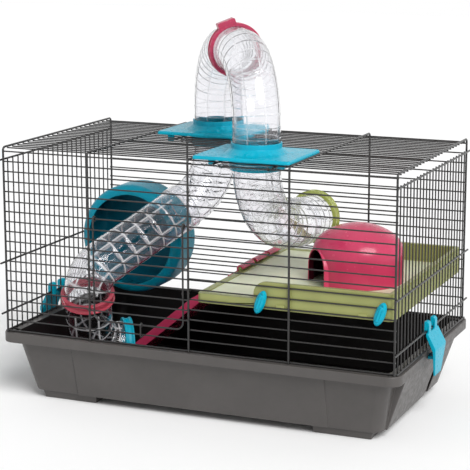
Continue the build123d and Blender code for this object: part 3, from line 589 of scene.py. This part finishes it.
def wire_row_tree():
    """Row of straight wires: a start, a span along the wire and a step to the next one."""
    inputs = [("Start", "Vector"), ("Span", "Vector"), ("Step", "Vector"), ("Count", "Int")]
    tree = Tree("Wire row", inputs + [("Radius", "Float"), ("Material", "Material")])
    given = tree.given.outputs
    line = tree.add("GeometryNodeCurvePrimitiveLine", mode="POINTS")
    tree.wire(given["Span"], line.inputs["End"])
    round_wire = tree.add("GeometryNodeCurvePrimitiveCircle", mode="RADIUS")
    round_wire.inputs["Resolution"].default_value = STRAIGHT_WIRE_SIDES
    tree.wire(given["Radius"], round_wire.inputs["Radius"])
    sweep = tree.add("GeometryNodeCurveToMesh")
    sweep.inputs["Fill Caps"].default_value = True
    tree.wire(line.outputs["Curve"], sweep.inputs["Curve"])
    tree.wire(round_wire.outputs["Curve"], sweep.inputs["Profile Curve"])
    row = tree.add("GeometryNodeMeshLine", mode="OFFSET")
    tree.wire(given["Count"], row.inputs["Count"])
    tree.wire(given["Start"], row.inputs["Start Location"])
    tree.wire(given["Step"], row.inputs["Offset"])
    copies = tree.add("GeometryNodeInstanceOnPoints")
    tree.wire(row.outputs["Mesh"], copies.inputs["Points"])
    tree.wire(sweep.outputs["Mesh"], copies.inputs["Instance"])
    return tree.close(copies.outputs["Instances"])


def bent_wire_tree():
    """Bent wire: a path of corners, rounded, with a round section."""
    inputs = [("Path", "Object"), ("Bend", "Float"), ("Radius", "Float"), ("Material", "Material")]
    tree = Tree("Bent wire", inputs)
    given = tree.given.outputs
    path = tree.add("GeometryNodeObjectInfo")
    tree.wire(given["Path"], path.inputs["Object"])
    bend = tree.add("GeometryNodeFilletCurve", mode="POLY")
    bend.inputs["Count"].default_value = BEND_STEPS
    tree.wire(path.outputs["Geometry"], bend.inputs["Curve"])
    tree.wire(given["Bend"], bend.inputs["Radius"])
    round_wire = tree.add("GeometryNodeCurvePrimitiveCircle", mode="RADIUS")
    round_wire.inputs["Resolution"].default_value = BENT_WIRE_SIDES
    tree.wire(given["Radius"], round_wire.inputs["Radius"])
    sweep = tree.add("GeometryNodeCurveToMesh")
    sweep.inputs["Fill Caps"].default_value = True
    tree.wire(bend.outputs["Curve"], sweep.inputs["Curve"])
    tree.wire(round_wire.outputs["Curve"], sweep.inputs["Profile Curve"])
    return tree.close(sweep.outputs["Mesh"])


def ribbed_tube_tree():
    """Tube along a path, with ribs round it and along it."""
    inputs = [("Path", "Object"), ("Radius", "Float"), ("Rib height", "Float"), ("Rib width", "Float")]
    inputs += [("Ring pitch", "Float"), ("Long ribs", "Float"), ("Margin", "Float"), ("Length", "Float")]
    inputs += [("Milk", "Float")]
    tree = Tree("Ribbed tube", inputs + [("Material", "Material")])
    given = tree.given.outputs
    path = tree.add("GeometryNodeObjectInfo")
    tree.wire(given["Path"], path.inputs["Object"])
    fine = tree.add("GeometryNodeResampleCurve", mode="LENGTH")
    fine.inputs["Length"].default_value = TUBE_STEP
    tree.wire(path.outputs["Geometry"], fine.inputs["Curve"])
    along = tree.add("GeometryNodeCaptureAttribute", domain="POINT")
    along.capture_items.new("FLOAT", "along")
    along_place = tree.add("GeometryNodeSplineParameter")
    tree.wire(fine.outputs["Curve"], along.inputs["Geometry"])
    tree.wire(along_place.outputs["Length"], along.inputs["along"])
    section = tree.add("GeometryNodeCurvePrimitiveCircle", mode="RADIUS")
    section.inputs["Resolution"].default_value = TUBE_SIDES
    tree.wire(given["Radius"], section.inputs["Radius"])
    turn = tree.add("GeometryNodeCaptureAttribute", domain="POINT")
    turn.capture_items.new("FLOAT", "turn")
    turn_place = tree.add("GeometryNodeSplineParameter")
    tree.wire(section.outputs["Curve"], turn.inputs["Geometry"])
    tree.wire(turn_place.outputs["Factor"], turn.inputs["turn"])
    sweep = tree.add("GeometryNodeCurveToMesh")
    tree.wire(along.outputs["Geometry"], sweep.inputs["Curve"])
    tree.wire(turn.outputs["Geometry"], sweep.inputs["Profile Curve"])
    along_value = along.outputs["along"]
    turn_value = turn.outputs["turn"]
    girth = tree.math("MULTIPLY", given["Radius"], 2 * pi)

    def ridge(number, step):
        """Height of ribs that stand a step apart, one at each whole number."""
        node = tree.add("ShaderNodeMapRange", interpolation_type="SMOOTHSTEP")
        tree.wire(tree.math("MULTIPLY", tree.math("PINGPONG", number, 0.5), step), node.inputs["Value"])
        node.inputs["From Min"].default_value = 0
        tree.wire(given["Rib width"], node.inputs["From Max"])
        node.inputs["To Min"].default_value = 1
        node.inputs["To Max"].default_value = 0
        return node.outputs["Result"]

    ring_number = tree.math("SUBTRACT", tree.math("DIVIDE", along_value, given["Ring pitch"]), 0.5)
    rings = ridge(ring_number, given["Ring pitch"])
    long_number = tree.math("MULTIPLY", turn_value, given["Long ribs"])
    runs = ridge(long_number, tree.math("DIVIDE", girth, given["Long ribs"]))
    height = tree.math("MAXIMUM", rings, runs)
    from_end = tree.math("MINIMUM", along_value, tree.math("SUBTRACT", given["Length"], along_value))
    ends = tree.add("ShaderNodeMapRange", interpolation_type="SMOOTHSTEP")
    tree.wire(from_end, ends.inputs["Value"])
    tree.wire(given["Margin"], ends.inputs["From Min"])
    tree.wire(tree.math("ADD", given["Margin"], RIB_FADE), ends.inputs["From Max"])
    rib = tree.math("MULTIPLY", height, ends.outputs["Result"])
    lift = tree.math("MULTIPLY", rib, given["Rib height"])
    marked = tree.add("GeometryNodeStoreNamedAttribute", data_type="FLOAT", domain="POINT")
    marked.inputs["Name"].default_value = "rib"
    tree.wire(sweep.outputs["Mesh"], marked.inputs["Geometry"])
    tree.wire(tree.math("MULTIPLY", rib, given["Milk"]), marked.inputs["Value"])
    normal = tree.add("GeometryNodeInputNormal")
    scaled = tree.add("ShaderNodeVectorMath", operation="SCALE")
    tree.wire(normal.outputs["Normal"], scaled.inputs[0])
    tree.wire(lift, scaled.inputs["Scale"])
    moved = tree.add("GeometryNodeSetPosition")
    tree.wire(marked.outputs["Geometry"], moved.inputs["Geometry"])
    tree.wire(scaled.outputs["Vector"], moved.inputs["Offset"])
    return tree.close(moved.outputs["Geometry"])


def bar_ring_tree():
    """Ring of short bars round an axis along Y."""
    inputs = [("Count", "Int"), ("Radius", "Float"), ("Centre", "Vector"), ("Bar", "Vector")]
    tree = Tree("Ring of bars", inputs + [("Material", "Material")])
    given = tree.given.outputs
    ring = tree.add("GeometryNodeMeshCircle", fill_type="NONE")
    tree.wire(given["Count"], ring.inputs["Vertices"])
    tree.wire(given["Radius"], ring.inputs["Radius"])
    spot = tree.add("GeometryNodeInputPosition")
    turn = tree.add("FunctionNodeAlignEulerToVector", axis="X")
    tree.wire(spot.outputs["Position"], turn.inputs["Vector"])
    bar = tree.add("GeometryNodeMeshCube")
    tree.wire(given["Bar"], bar.inputs["Size"])
    copies = tree.add("GeometryNodeInstanceOnPoints")
    tree.wire(ring.outputs["Mesh"], copies.inputs["Points"])
    tree.wire(bar.outputs["Mesh"], copies.inputs["Instance"])
    tree.wire(turn.outputs["Rotation"], copies.inputs["Rotation"])
    stand = tree.add("GeometryNodeTransform")
    stand.inputs["Rotation"].default_value = (pi / 2, 0, 0)
    tree.wire(copies.outputs["Instances"], stand.inputs["Geometry"])
    tree.wire(given["Centre"], stand.inputs["Translation"])
    return tree.close(stand.outputs["Geometry"])


def grown(tree_builder, values, angle=40, wall=0.0):
    """Plain mesh of a tree with these inputs; a wall makes the swept face a shell."""
    name = tree_builder.__name__.replace("_tree", "").replace("_", " ").capitalize()
    group = bpy.data.node_groups.get(name) or tree_builder()
    obj = place("growing", bpy.data.meshes.new("growing"))
    modifier = obj.modifiers.new("Build", "NODES")
    modifier.node_group = group
    for item in group.interface.items_tree:
        if item.item_type == "SOCKET" and item.in_out == "INPUT" and item.name in values:
            modifier[item.identifier] = values[item.name]
    if wall:
        solid = obj.modifiers.new("Wall", "SOLIDIFY")
        solid.thickness = wall
        solid.offset = -1
    return smooth(evaluated(obj), angle)


def path_object(points):
    """Open path through points given in millimetres."""
    curve = bpy.data.curves.new("path", "CURVE")
    curve.dimensions = "3D"
    spline = curve.splines.new("POLY")
    spline.points.add(len(points) - 1)
    for point, spot in zip(spline.points, points):
        point.co = (*(Vector(spot) * MM), 1)
    return place("path", curve)


def wire_row(start, span, step, count, radius, material):
    """Row of straight wires; places in millimetres."""
    values = {
        "Start": Vector(start) * MM,
        "Span": Vector(span) * MM,
        "Step": Vector(step) * MM,
        "Count": count,
        "Radius": radius,
        "Material": material,
    }
    return grown(wire_row_tree, values)


def bent_wire(points, bend, radius, material):
    """Bent wire through corner points in millimetres."""
    path = path_object(points)
    values = {"Path": path, "Bend": bend * MM, "Radius": radius, "Material": material}
    mesh = grown(bent_wire_tree, values, angle=60)
    bpy.data.objects.remove(path)
    return mesh


def wire_material():
    """Coating of every wire."""
    return coated_wire("Coated wire", colours().wire)


def clear_material():
    """Plastic of the clear tubes."""
    return clear_plastic("Clear tube", colours().clear)


def blue_material():
    """Plastic of the fittings, front locks, clips and foot band."""
    return plastic("Blue plastic", colours().blue, gloss=0.3, grain=900, bump=0.04, shine=0.25)


def crimson_material():
    """Plastic of the house and the ramp."""
    return plastic("Crimson plastic", colours().crimson, gloss=0.22, grain=700, bump=0.015, shine=0.4)


# Pieces

class CAGE_OT_tray(bpy.types.Operator):
    """Tray with a moulded grey outside and a glossy dark inside"""

    bl_idname = "cage.tray"
    bl_label = "Tray"

    def execute(self, context):
        outside = plastic("Tray plastic", colours().tray, gloss=0.42, grain=1300, bump=0.3)
        inside = plastic("Tray inside", colours().tray_inside, gloss=0.42, grain=500, bump=0.1, shine=0.12)
        mesh = solid_copy("base_tray", outside, bevel=1.0, segments=3)
        mesh.materials.append(inside)
        for face in mesh.polygons:
            spot = face.center / MM
            outward = Vector((spot.x, spot.y, 0)).normalized()
            within = abs(spot.x) < TRAY_INSIDE_X and abs(spot.y) < TRAY_INSIDE_Y and spot.z > TRAY_FLOOR_LOW
            faces_in = face.normal.dot(outward) < TRAY_SLANT or spot.z < TRAY_FLOOR_HIGH
            if within and faces_in and face.normal.z > -TRAY_SLANT:
                face.material_index = 1
        settle(place("tray_shell", even(mesh)), "cage", "tray", "base_tray")
        return {"FINISHED"}


class CAGE_OT_hoops(bpy.types.Operator):
    """Frame hoops bent over the roof"""

    bl_idname = "cage.hoops"
    bl_label = "Hoops"

    def execute(self, context):
        meshes = []
        for x in HOOP_X:
            corners = [(x, -HALF_DEPTH, RIM_Z), (x, -HALF_DEPTH, ROOF_Z)]
            corners += [(x, HALF_DEPTH, ROOF_Z), (x, HALF_DEPTH, RIM_Z)]
            meshes.append(bent_wire(corners, HOOP_BEND, sizes().hoop_radius, wire_material()))
        settle(place("hoop_wires", joined("hoop_wires", meshes)), "cage", "wire", "cage_hoops")
        return {"FINISHED"}


def spans_between(cuts, end):
    """Stretches of a line from -end to end left by cuts."""
    start = -end
    for low, high in cuts:
        yield start, low
        start = high
    yield start, end


class CAGE_OT_lines(bpy.types.Operator):
    """Fine wires of the front, the back and the roof"""

    bl_idname = "cage.lines"
    bl_label = "Lines"

    def execute(self, context):
        pitch = sizes().line_pitch / MM
        radius = sizes().line_radius
        wire = wire_material()
        full = (2 * LINE_END, 0, 0)
        step = (0, 0, -pitch)
        front = [wire_row((-LINE_END, -LINE_Y, LINE_TOP), full, step, HINGE_LINE + 1, radius, wire)]
        first_cut = LINE_TOP - (HINGE_LINE + 1) * pitch
        cut_count = LINE_COUNT - HINGE_LINE - 2
        doorway = (HOOP_X[1] + LINE_SINK, HOOP_X[2] - LINE_SINK)
        for x0, x1 in spans_between([doorway], LINE_END):
            front.append(wire_row((x0, -LINE_Y, first_cut), (x1 - x0, 0, 0), step, cut_count, radius, wire))
        last = LINE_TOP - (LINE_COUNT - 1) * pitch
        front.append(wire_row((-LINE_END, -LINE_Y, last), full, step, 1, radius, wire))
        settle(place("front_lines", joined("front_lines", front)), "cage", "wire", "front_line_wires")
        back = wire_row((-LINE_END, LINE_Y, LINE_TOP), full, step, LINE_COUNT, radius, wire)
        settle(place("back_lines", back), "cage", "wire", "back_line_wires")
        roof = []
        for j in range(ROOF_LINE_COUNT):
            y = (j - (ROOF_LINE_COUNT - 1) / 2) * pitch
            holes = [hole for hole in (BACK_HOLE, FRONT_HOLE) if abs(y - hole.y) < HOLE_REACH]
            half = HOLE_HALF - LINE_SINK
            for x0, x1 in spans_between([(hole.x - half, hole.x + half) for hole in holes], LINE_END):
                roof.append(wire_row((x0, y, ROOF_LINE_Z), (x1 - x0, 0, 0), UP, 1, radius, wire))
        settle(place("roof_lines", joined("roof_lines", roof)), "cage", "wire", "roof_line_wires")
        return {"FINISHED"}


class CAGE_OT_ends(bpy.types.Operator):
    """Uprights and bars of the two ends, and the wires round the foot and the roof holes"""

    bl_idname = "cage.ends"
    bl_label = "Ends"

    def execute(self, context):
        wire = wire_material()
        bar_radius = sizes().bar_radius
        top = BAR_HEIGHTS[-1] + bar_radius / MM
        reach = HALF_DEPTH + BAR_OVERHANG
        inner = HALF_DEPTH - sizes().hoop_radius / MM
        for side, name in ((-1, "left"), (1, "right")):
            start = (side * UPRIGHT_X, -(UPRIGHT_COUNT - 1) / 2 * UPRIGHT_PITCH, RIM_Z)
            step = (0, UPRIGHT_PITCH, 0)
            span = (0, 0, top - RIM_Z)
            uprights = wire_row(start, span, step, UPRIGHT_COUNT, sizes().line_radius, wire)
            settle(place(f"{name}_uprights", uprights), "cage", "wire", f"{name}_end_wires")
            bars = []
            for z in BAR_HEIGHTS:
                half = inner if z == BAR_HEIGHTS[0] else reach
                bars.append(wire_row((side * BAR_X, -half, z), (0, 2 * half, 0), step, 1, bar_radius, wire))
            settle(place(f"{name}_bars", joined(f"{name}_bars", bars)), "cage", "wire", f"{name}_end_bars")
        start = (-FOOT_WIRE_END, -FOOT_WIRE_Y, BAR_HEIGHTS[0])
        foot = wire_row(start, (2 * FOOT_WIRE_END, 0, 0), (0, 2 * FOOT_WIRE_Y, 0), 2, bar_radius, wire)
        settle(place("foot_wires", foot), "cage", "wire", "base_wires")
        borders = []
        half = HOLE_REACH + sizes().line_pitch / MM / 2
        for hole in (FRONT_HOLE, BACK_HOLE):
            start = (hole.x - HOLE_HALF, hole.y - half, HOLE_WIRE_Z)
            borders.append(wire_row(start, (0, 2 * half, 0), (2 * HOLE_HALF, 0, 0), 2, bar_radius, wire))
        settle(place("hole_borders", joined("hole_borders", borders)), "cage", "wire", "roof_hole_wires")
        return {"FINISHED"}


def eye(x, y, z, loop, steps=18):
    """Points of an eye that rises from (y - loop) over the top and ends below."""
    points = []
    for k in range(1, steps + 1):
        turn = radians(180 - 270 * k / steps)
        points.append((x, y + loop * cos(turn), z + loop * sin(turn)))
    return points


class CAGE_OT_door(bpy.types.Operator):
    """Door frame bent from one wire, its cross wires and its latch"""

    bl_idname = "cage.door"
    bl_label = "Door"

    def execute(self, context):
        wire = wire_material()
        pitch = sizes().line_pitch / MM
        hinge_z = LINE_TOP - HINGE_LINE * pitch
        left, right = DOOR_X
        corners = [(left, DOOR_Y, hinge_z), (left, DOOR_Y, DOOR_BOTTOM)]
        corners += [(right, DOOR_Y, DOOR_BOTTOM), (right, DOOR_Y, hinge_z)]
        meshes = [bent_wire(corners, DOOR_CORNER, sizes().door_radius, wire)]
        for x in DOOR_X:
            points = [(x, DOOR_Y, hinge_z)] + eye(x, -LINE_Y, hinge_z, DOOR_EYE)
            meshes.append(bent_wire(points, 0, sizes().door_radius, wire))
        settle(place("door_bow", joined("door_bow", meshes)), "door", "wire", "door_frame")
        x0 = HOOP_X[1] - sizes().hoop_radius / MM
        x1 = HOOP_X[2] + sizes().hoop_radius / MM
        start = (x0, DOOR_Y - DOOR_LINE_OUT, hinge_z - pitch)
        lines = wire_row(
            start, (x1 - x0, 0, 0), (0, 0, -pitch), DOOR_LINE_COUNT, sizes().line_radius, wire
        )
        settle(place("door_lines", lines), "door", "wire", "door_wires")
        y = DOOR_Y - LATCH_EYE
        toe = [(LATCH_X, y, DOOR_BOTTOM), (LATCH_X, y, LATCH_TOE_Z), (LATCH_X, y + LATCH_TOE, LATCH_TOE_Z)]
        leg = bent_wire(toe, LATCH_BEND, sizes().latch_radius, wire)
        curl = [(LATCH_X, y, DOOR_BOTTOM)] + eye(LATCH_X, DOOR_Y, DOOR_BOTTOM, LATCH_EYE)
        loop = bent_wire(curl, 0, sizes().latch_radius, wire)
        settle(place("latch_hook", joined("latch_hook", [leg, loop])), "latch", "wire", "door_latch")
        return {"FINISHED"}


class CAGE_OT_fittings(bpy.types.Operator):
    """Blue roof fittings with their clear rings below"""

    bl_idname = "cage.fittings"
    bl_label = "Roof fittings"

    def execute(self, context):
        for name in ("front", "back"):
            dress(f"roof_connector_{name}", "cage", "blue", blue_material(), bevel=0.6, segments=3)
            dress(f"lock_ring_{name}", "cage", "clear", clear_material())
        return {"FINISHED"}


def bend_path(start, heading, toward, lead, radius, turn, tail, steps=48):
    """Smooth bend: points and the heading at its end."""
    side = (toward - heading * toward.dot(heading)).normalized()
    centre = start + heading * lead + side * radius
    points = [start]
    for k in range(steps + 1):
        a = turn * k / steps
        points.append(centre - side * (radius * cos(a)) + heading * (radius * sin(a)))
    out = (heading * cos(turn) + side * sin(turn)).normalized()
    points.append(points[-1] + out * tail)
    return points, out


def path_length(points):
    """Length of a path through points."""
    return sum((b - a).length for a, b in zip(points, points[1:]))


def tube_runs():
    """Paths of the clear tubes in millimetres, from the roof to their ends."""
    across = (BACK_HOLE - FRONT_HOLE).normalized()
    tail = (BACK_HOLE - FRONT_HOLE).length / 2 - ARCH_RADIUS
    quarter = pi / 2
    runs = {}
    for name, hole, way in (("arch_front", FRONT_HOLE, across), ("arch_back", BACK_HOLE, -across)):
        runs[name] = bend_path(hole + UP * UPPER_SEAT, UP, way, ARCH_LEAD, ARCH_RADIUS, quarter, tail)
    start = FRONT_HOLE + UP * LOWER_SEAT
    points, heading = bend_path(start, DOWN, FRONT_WAY, FRONT_LEAD, FRONT_RADIUS, quarter, FRONT_TAIL)
    runs["drop_front"] = points, heading
    runs["front_end"] = [points[-1], points[-1] + heading * FRONT_END], heading
    start = BACK_HOLE + UP * LOWER_SEAT
    points, heading = bend_path(start, DOWN, BACK_WAY, BACK_LEAD, BACK_RADIUS, BACK_TURN, BACK_TAIL)
    runs["drop_back"] = points, heading
    turn = acos(heading.dot(SLOPE_WAY))
    points, heading = bend_path(points[-1], heading, SLOPE_WAY, SLOPE_LEAD, SLOPE_RADIUS, turn, SLOPE_TAIL)
    runs["slope"] = points, heading
    turn = acos(heading.dot(FOOT_WAY))
    runs["foot"] = bend_path(points[-1], heading, FOOT_WAY, FOOT_LEAD, FOOT_RADIUS, turn, FOOT_TAIL)
    return runs


def tube_nodes(run):
    """Solids that a run of tube stands for."""
    if run == "front_end":
        return ["front_end_tube"]
    stem = {"slope": "slope_tube", "foot": "foot_elbow"}.get(run, run)
    return [f"{stem}_left", f"{stem}_right"]


class CAGE_OT_tubes(bpy.types.Operator):
    """Clear ribbed tubes of the climbing run"""

    bl_idname = "cage.tubes"
    bl_label = "Tubes"

    def execute(self, context):
        for name, (points, _) in tube_runs().items():
            coarse = name in COARSE_RUNS
            ribs = COARSE_RIBS if coarse else FINE_RIBS
            path = path_object(points)
            values = {
                "Path": path,
                "Radius": sizes().tube_radius - sizes().rib_height / 2,
                "Rib height": sizes().rib_height * ribs["height"],
                "Rib width": sizes().rib_width * ribs["width"],
                "Ring pitch": sizes().coarse_pitch if coarse else sizes().ring_pitch,
                "Long ribs": ribs["count"],
                "Margin": RIB_MARGIN,
                "Length": path_length(points) * MM,
                "Milk": ribs["milk"],
                "Material": clear_material(),
            }
            mesh = grown(ribbed_tube_tree, values, angle=80, wall=sizes().tube_wall)
            bpy.data.objects.remove(path)
            settle(place(f"{name}_tube", mesh), "cage", "clear", *tube_nodes(name))
        return {"FINISHED"}


class CAGE_OT_bands(bpy.types.Operator):
    """Coloured bands and clear couplings that join the tubes"""

    bl_idname = "cage.bands"
    bl_label = "Bands"

    def execute(self, context):
        runs = tube_runs()
        red = plastic("Band red plastic", colours().band_red, gloss=0.25, grain=700, bump=0.04, glow=0.1)
        rose = clear_plastic("Rose translucent", colours().rose, clear=0.55)
        lime = clear_plastic("Lime translucent", colours().lime, clear=0.5)
        dress("arch_ring", "cage", "pink", red)
        ends = (
            ("slope_ring", "pink", rose, "slope", 0.0),
            ("lime_ring", "lime", lime, "front_end", BAND_INSET),
            ("foot_ring", "blue", blue_material(), "foot", BAND_INSET),
        )
        for node, slot, material, run, shift in ends:
            points, heading = runs[run]
            mesh = lathe(node, mirrored(BAND_HALF), points[-1] + heading * shift, heading, material)
            settle(place(f"{node}_band", mesh), "cage", slot, node)
        for node, run in (("front_coupling", "drop_front"), ("back_coupling", "drop_back")):
            points, heading = runs[run]
            outline = mirrored(COUPLING_HALF)
            mesh = lathe(node, outline, points[-1], heading, clear_material(), milk=COUPLING_MILK)
            settle(place(f"{node}_sleeve", mesh), "cage", "clear", node)
        return {"FINISHED"}


class CAGE_OT_wheel(bpy.types.Operator):
    """Running wheel with its treads, painted darker inside as shade, and the carrier on the back wires"""

    bl_idname = "cage.wheel"
    bl_label = "Wheel"

    def execute(self, context):
        teal = plastic("Teal plastic", colours().teal, gloss=0.32, grain=600, bump=0.04, glow=0.1, shine=0.2)
        dark = plastic("Dark teal plastic", colours().teal_dark, gloss=0.4, grain=600, bump=0.05, shine=0.15)
        drum = solid_copy("wheel_drum", teal)
        drum.materials.append(dark)
        # Inward faces behind the lip get the dark teal: painted shade, as the drum is one teal plastic
        for face in drum.polygons:
            spot = face.center / MM
            if spot.y > WHEEL_LIP_BACK and (WHEEL_MIDDLE - spot).dot(face.normal) > 0:
                face.material_index = 1
        # Treads in the dark teal: painted shade inside the drum
        ring = {
            "Count": sizes().tread_count,
            "Radius": TREAD_RING * MM,
            "Centre": WHEEL_MIDDLE * MM,
            "Bar": TREAD_SIZE * MM,
            "Material": dark,
        }
        treads = grown(bar_ring_tree, ring)
        wheel = even(joined("wheel_shell", [drum, treads]))
        settle(place("wheel_shell", wheel), "wheel", "teal", "wheel_drum")
        for name in ("wheel_axle", "wheel_cap", "wheel_bracket"):
            dress(name, "cage", "teal_dark", dark, bevel=0.6)
        return {"FINISHED"}


class CAGE_OT_shelf(bpy.types.Operator):
    """Shelf with a paler sunk deck, and its four turning locks"""

    bl_idname = "cage.shelf"
    bl_label = "Shelf"

    def execute(self, context):
        olive = plastic("Olive plastic", colours().olive, gloss=0.38, grain=800, bump=0.06, glow=0.05)
        deck = plastic(
            "Deck plastic", colours().deck, gloss=0.36, grain=800, bump=0.05, glow=0.05, shine=0.35
        )
        mesh = solid_copy("platform", olive, bevel=0.35)
        mesh.materials.append(deck)
        for face in mesh.polygons:
            if face.normal.z > LEVEL and abs(face.center.z / MM - DECK_Z) < DECK_SLACK:
                face.material_index = 1
        settle(place("shelf_shell", even(mesh)), "cage", "olive", "platform")
        # Back locks in a darker blue than the front ones: painted shade
        shaded_lock_blue = plastic("Back lock painted shade blue", colours().deep_blue, gloss=0.3, grain=900, bump=0.1)
        for hand in ("left", "right"):
            name = f"knob_front_{hand}"
            dress(name, name, "blue", blue_material(), bevel=0.9, segments=3)
            name = f"knob_back_{hand}"
            dress(name, name, "deep_blue", shaded_lock_blue, bevel=0.9, segments=3)
        return {"FINISHED"}


class CAGE_OT_ramp(bpy.types.Operator):
    """Ribbed ramp hooked on the shelf"""

    bl_idname = "cage.ramp"
    bl_label = "Ramp"

    def execute(self, context):
        dress("ramp", "ramp", "crimson", crimson_material(), bevel=0.4)
        return {"FINISHED"}


class CAGE_OT_house(bpy.types.Operator):
    """Domed house with an arched doorway and its inside painted dark as shade"""

    bl_idname = "cage.house"
    bl_label = "House"

    def execute(self, context):
        mesh = solid_copy("house", crimson_material(), bevel=0.7, segments=3)
        dark = plastic("Crimson inside", colours().crimson_dark, gloss=0.5, grain=700, bump=0.03, shine=0.1)
        mesh.materials.append(dark)
        # Faces turned to the middle get the dark crimson: painted shade in the doorway and inside
        for face in mesh.polygons:
            if (HOUSE_MIDDLE - face.center / MM).dot(face.normal) > 0:
                face.material_index = 1
        settle(place("house_shell", even(mesh)), "cage", "crimson", "house")
        return {"FINISHED"}


class CAGE_OT_clips(bpy.types.Operator):
    """Clips that hold the wires on the tray"""

    bl_idname = "cage.clips"
    bl_label = "Clips"

    def execute(self, context):
        for name in ("clip_left", "clip_right"):
            dress(name, name, "blue", blue_material(), bevel=0.6, segments=3)
        return {"FINISHED"}


class CAGE_OT_stage(bpy.types.Operator):
    """Pale floor, soft lights, white surroundings and the camera"""

    bl_idname = "cage.stage"
    bl_label = "Stage"

    def execute(self, context):
        scene = context.scene
        scene.view_settings.view_transform = "Standard"
        settings = scene.cage_stage
        self.make_floor(settings)
        self.make_world(scene, settings)
        self.make_light(scene, settings)
        self.make_camera(scene, settings)
        return {"FINISHED"}

    def make_floor(self, settings):
        """Wide pale floor under the feet."""
        bm = bmesh.new()
        bmesh.ops.create_grid(bm, x_segments=1, y_segments=1, size=FLOOR_HALF)
        mesh = bpy.data.meshes.new("floor")
        bm.to_mesh(mesh)
        bm.free()
        material, shader = new_material("Floor")
        cloudy = mottled(material, settings.floor, scale=2, amount=0.01)
        link(material, cloudy, shader.inputs["Base Color"])
        shader.inputs["Roughness"].default_value = 0.9
        mesh.materials.append(material)
        place("floor", mesh)

    def make_world(self, scene, settings):
        """White to the camera, in reflections and through clear plastic, soft light elsewhere."""
        world = bpy.data.worlds.new("Studio")
        scene.world = world
        world.use_nodes = True
        nodes = world.node_tree.nodes
        links = world.node_tree.links
        light_path = nodes.new("ShaderNodeLightPath")
        white = nodes.new("ShaderNodeBackground")
        white.inputs["Color"].default_value = (1, 1, 1, 1)
        white.inputs["Strength"].default_value = 1.0
        soft = nodes["Background"]
        soft.inputs["Color"].default_value = (1, 1, 1, 1)
        soft.inputs["Strength"].default_value = settings.surroundings
        seen = light_path.outputs["Is Camera Ray"]
        for ray in ("Is Glossy Ray", "Is Transmission Ray"):
            either = nodes.new("ShaderNodeMath")
            either.operation = "MAXIMUM"
            links.new(seen, either.inputs[0])
            links.new(light_path.outputs[ray], either.inputs[1])
            seen = either.outputs[0]
        mix = nodes.new("ShaderNodeMixShader")
        links.new(seen, mix.inputs["Fac"])
        links.new(soft.outputs["Background"], mix.inputs[1])
        links.new(white.outputs["Background"], mix.inputs[2])
        links.new(mix.outputs["Shader"], nodes["World Output"].inputs["Surface"])

    def make_light(self, scene, settings):
        """Broad key light from the right front."""
        lamp = bpy.data.lights.new("Key light", "SUN")
        lamp.angle = KEY_ANGLE
        lamp.energy = settings.key_power
        obj = bpy.data.objects.new("Key light", lamp)
        scene.collection.objects.link(obj)
        self.aim(obj, KEY_SPOT, KEY_AIM)

    def make_camera(self, scene, settings):
        """Camera at the view of the photograph."""
        camera = bpy.data.cameras.new("Camera")
        camera.lens = settings.lens
        camera.sensor_width = CAMERA_SENSOR
        camera.shift_x, camera.shift_y = CAMERA_SHIFT
        camera.clip_end = CAMERA_REACH
        obj = bpy.data.objects.new("Camera", camera)
        scene.collection.objects.link(obj)
        self.aim(obj, CAMERA_SPOT, CAMERA_AIM)
        scene.camera = obj

    def aim(self, obj, spot, target):
        """Puts a light or a camera at a spot, facing a target."""
        obj.location = spot
        obj.rotation_euler = (target - spot).to_track_quat("-Z", "Y").to_euler()


OPERATORS = (
    CAGE_OT_tray,
    CAGE_OT_hoops,
    CAGE_OT_lines,
    CAGE_OT_ends,
    CAGE_OT_door,
    CAGE_OT_fittings,
    CAGE_OT_tubes,
    CAGE_OT_bands,
    CAGE_OT_wheel,
    CAGE_OT_shelf,
    CAGE_OT_ramp,
    CAGE_OT_house,
    CAGE_OT_clips,
    CAGE_OT_stage,
)


class CAGE_PT_sidebar(bpy.types.Panel):
    """Hamster cage pieces and their settings"""

    bl_idname = "CAGE_PT_sidebar"
    bl_label = "Hamster Cage"
    bl_space_type = "VIEW_3D"
    bl_region_type = "UI"
    bl_category = "Hamster Cage"

    def draw(self, context):
        """Lists the settings and the operators."""
        column = self.layout.column()
        for group in (context.scene.cage_colours, context.scene.cage_sizes, context.scene.cage_stage):
            for name in group.__annotations__:
                column.prop(group, name)
        for operator in OPERATORS:
            column.operator(operator.bl_idname)


CLASSES = (CageColours, CageSizes, CageStage, *OPERATORS, CAGE_PT_sidebar)


def register():
    """Adds the classes and their settings."""
    for item in CLASSES:
        bpy.utils.register_class(item)
    bpy.types.Scene.cage_colours = PointerProperty(type=CageColours)
    bpy.types.Scene.cage_sizes = PointerProperty(type=CageSizes)
    bpy.types.Scene.cage_stage = PointerProperty(type=CageStage)


def unregister():
    """Takes the settings and the classes away."""
    for name in ("cage_colours", "cage_sizes", "cage_stage"):
        delattr(bpy.types.Scene, name)
    for item in reversed(CLASSES):
        bpy.utils.unregister_class(item)


def main():
    """Builds every piece and the stage."""
    register()
    for operator in OPERATORS:
        group, name = operator.bl_idname.split(".")
        getattr(getattr(bpy.ops, group), name)()


if __name__ == "__main__":
    main()
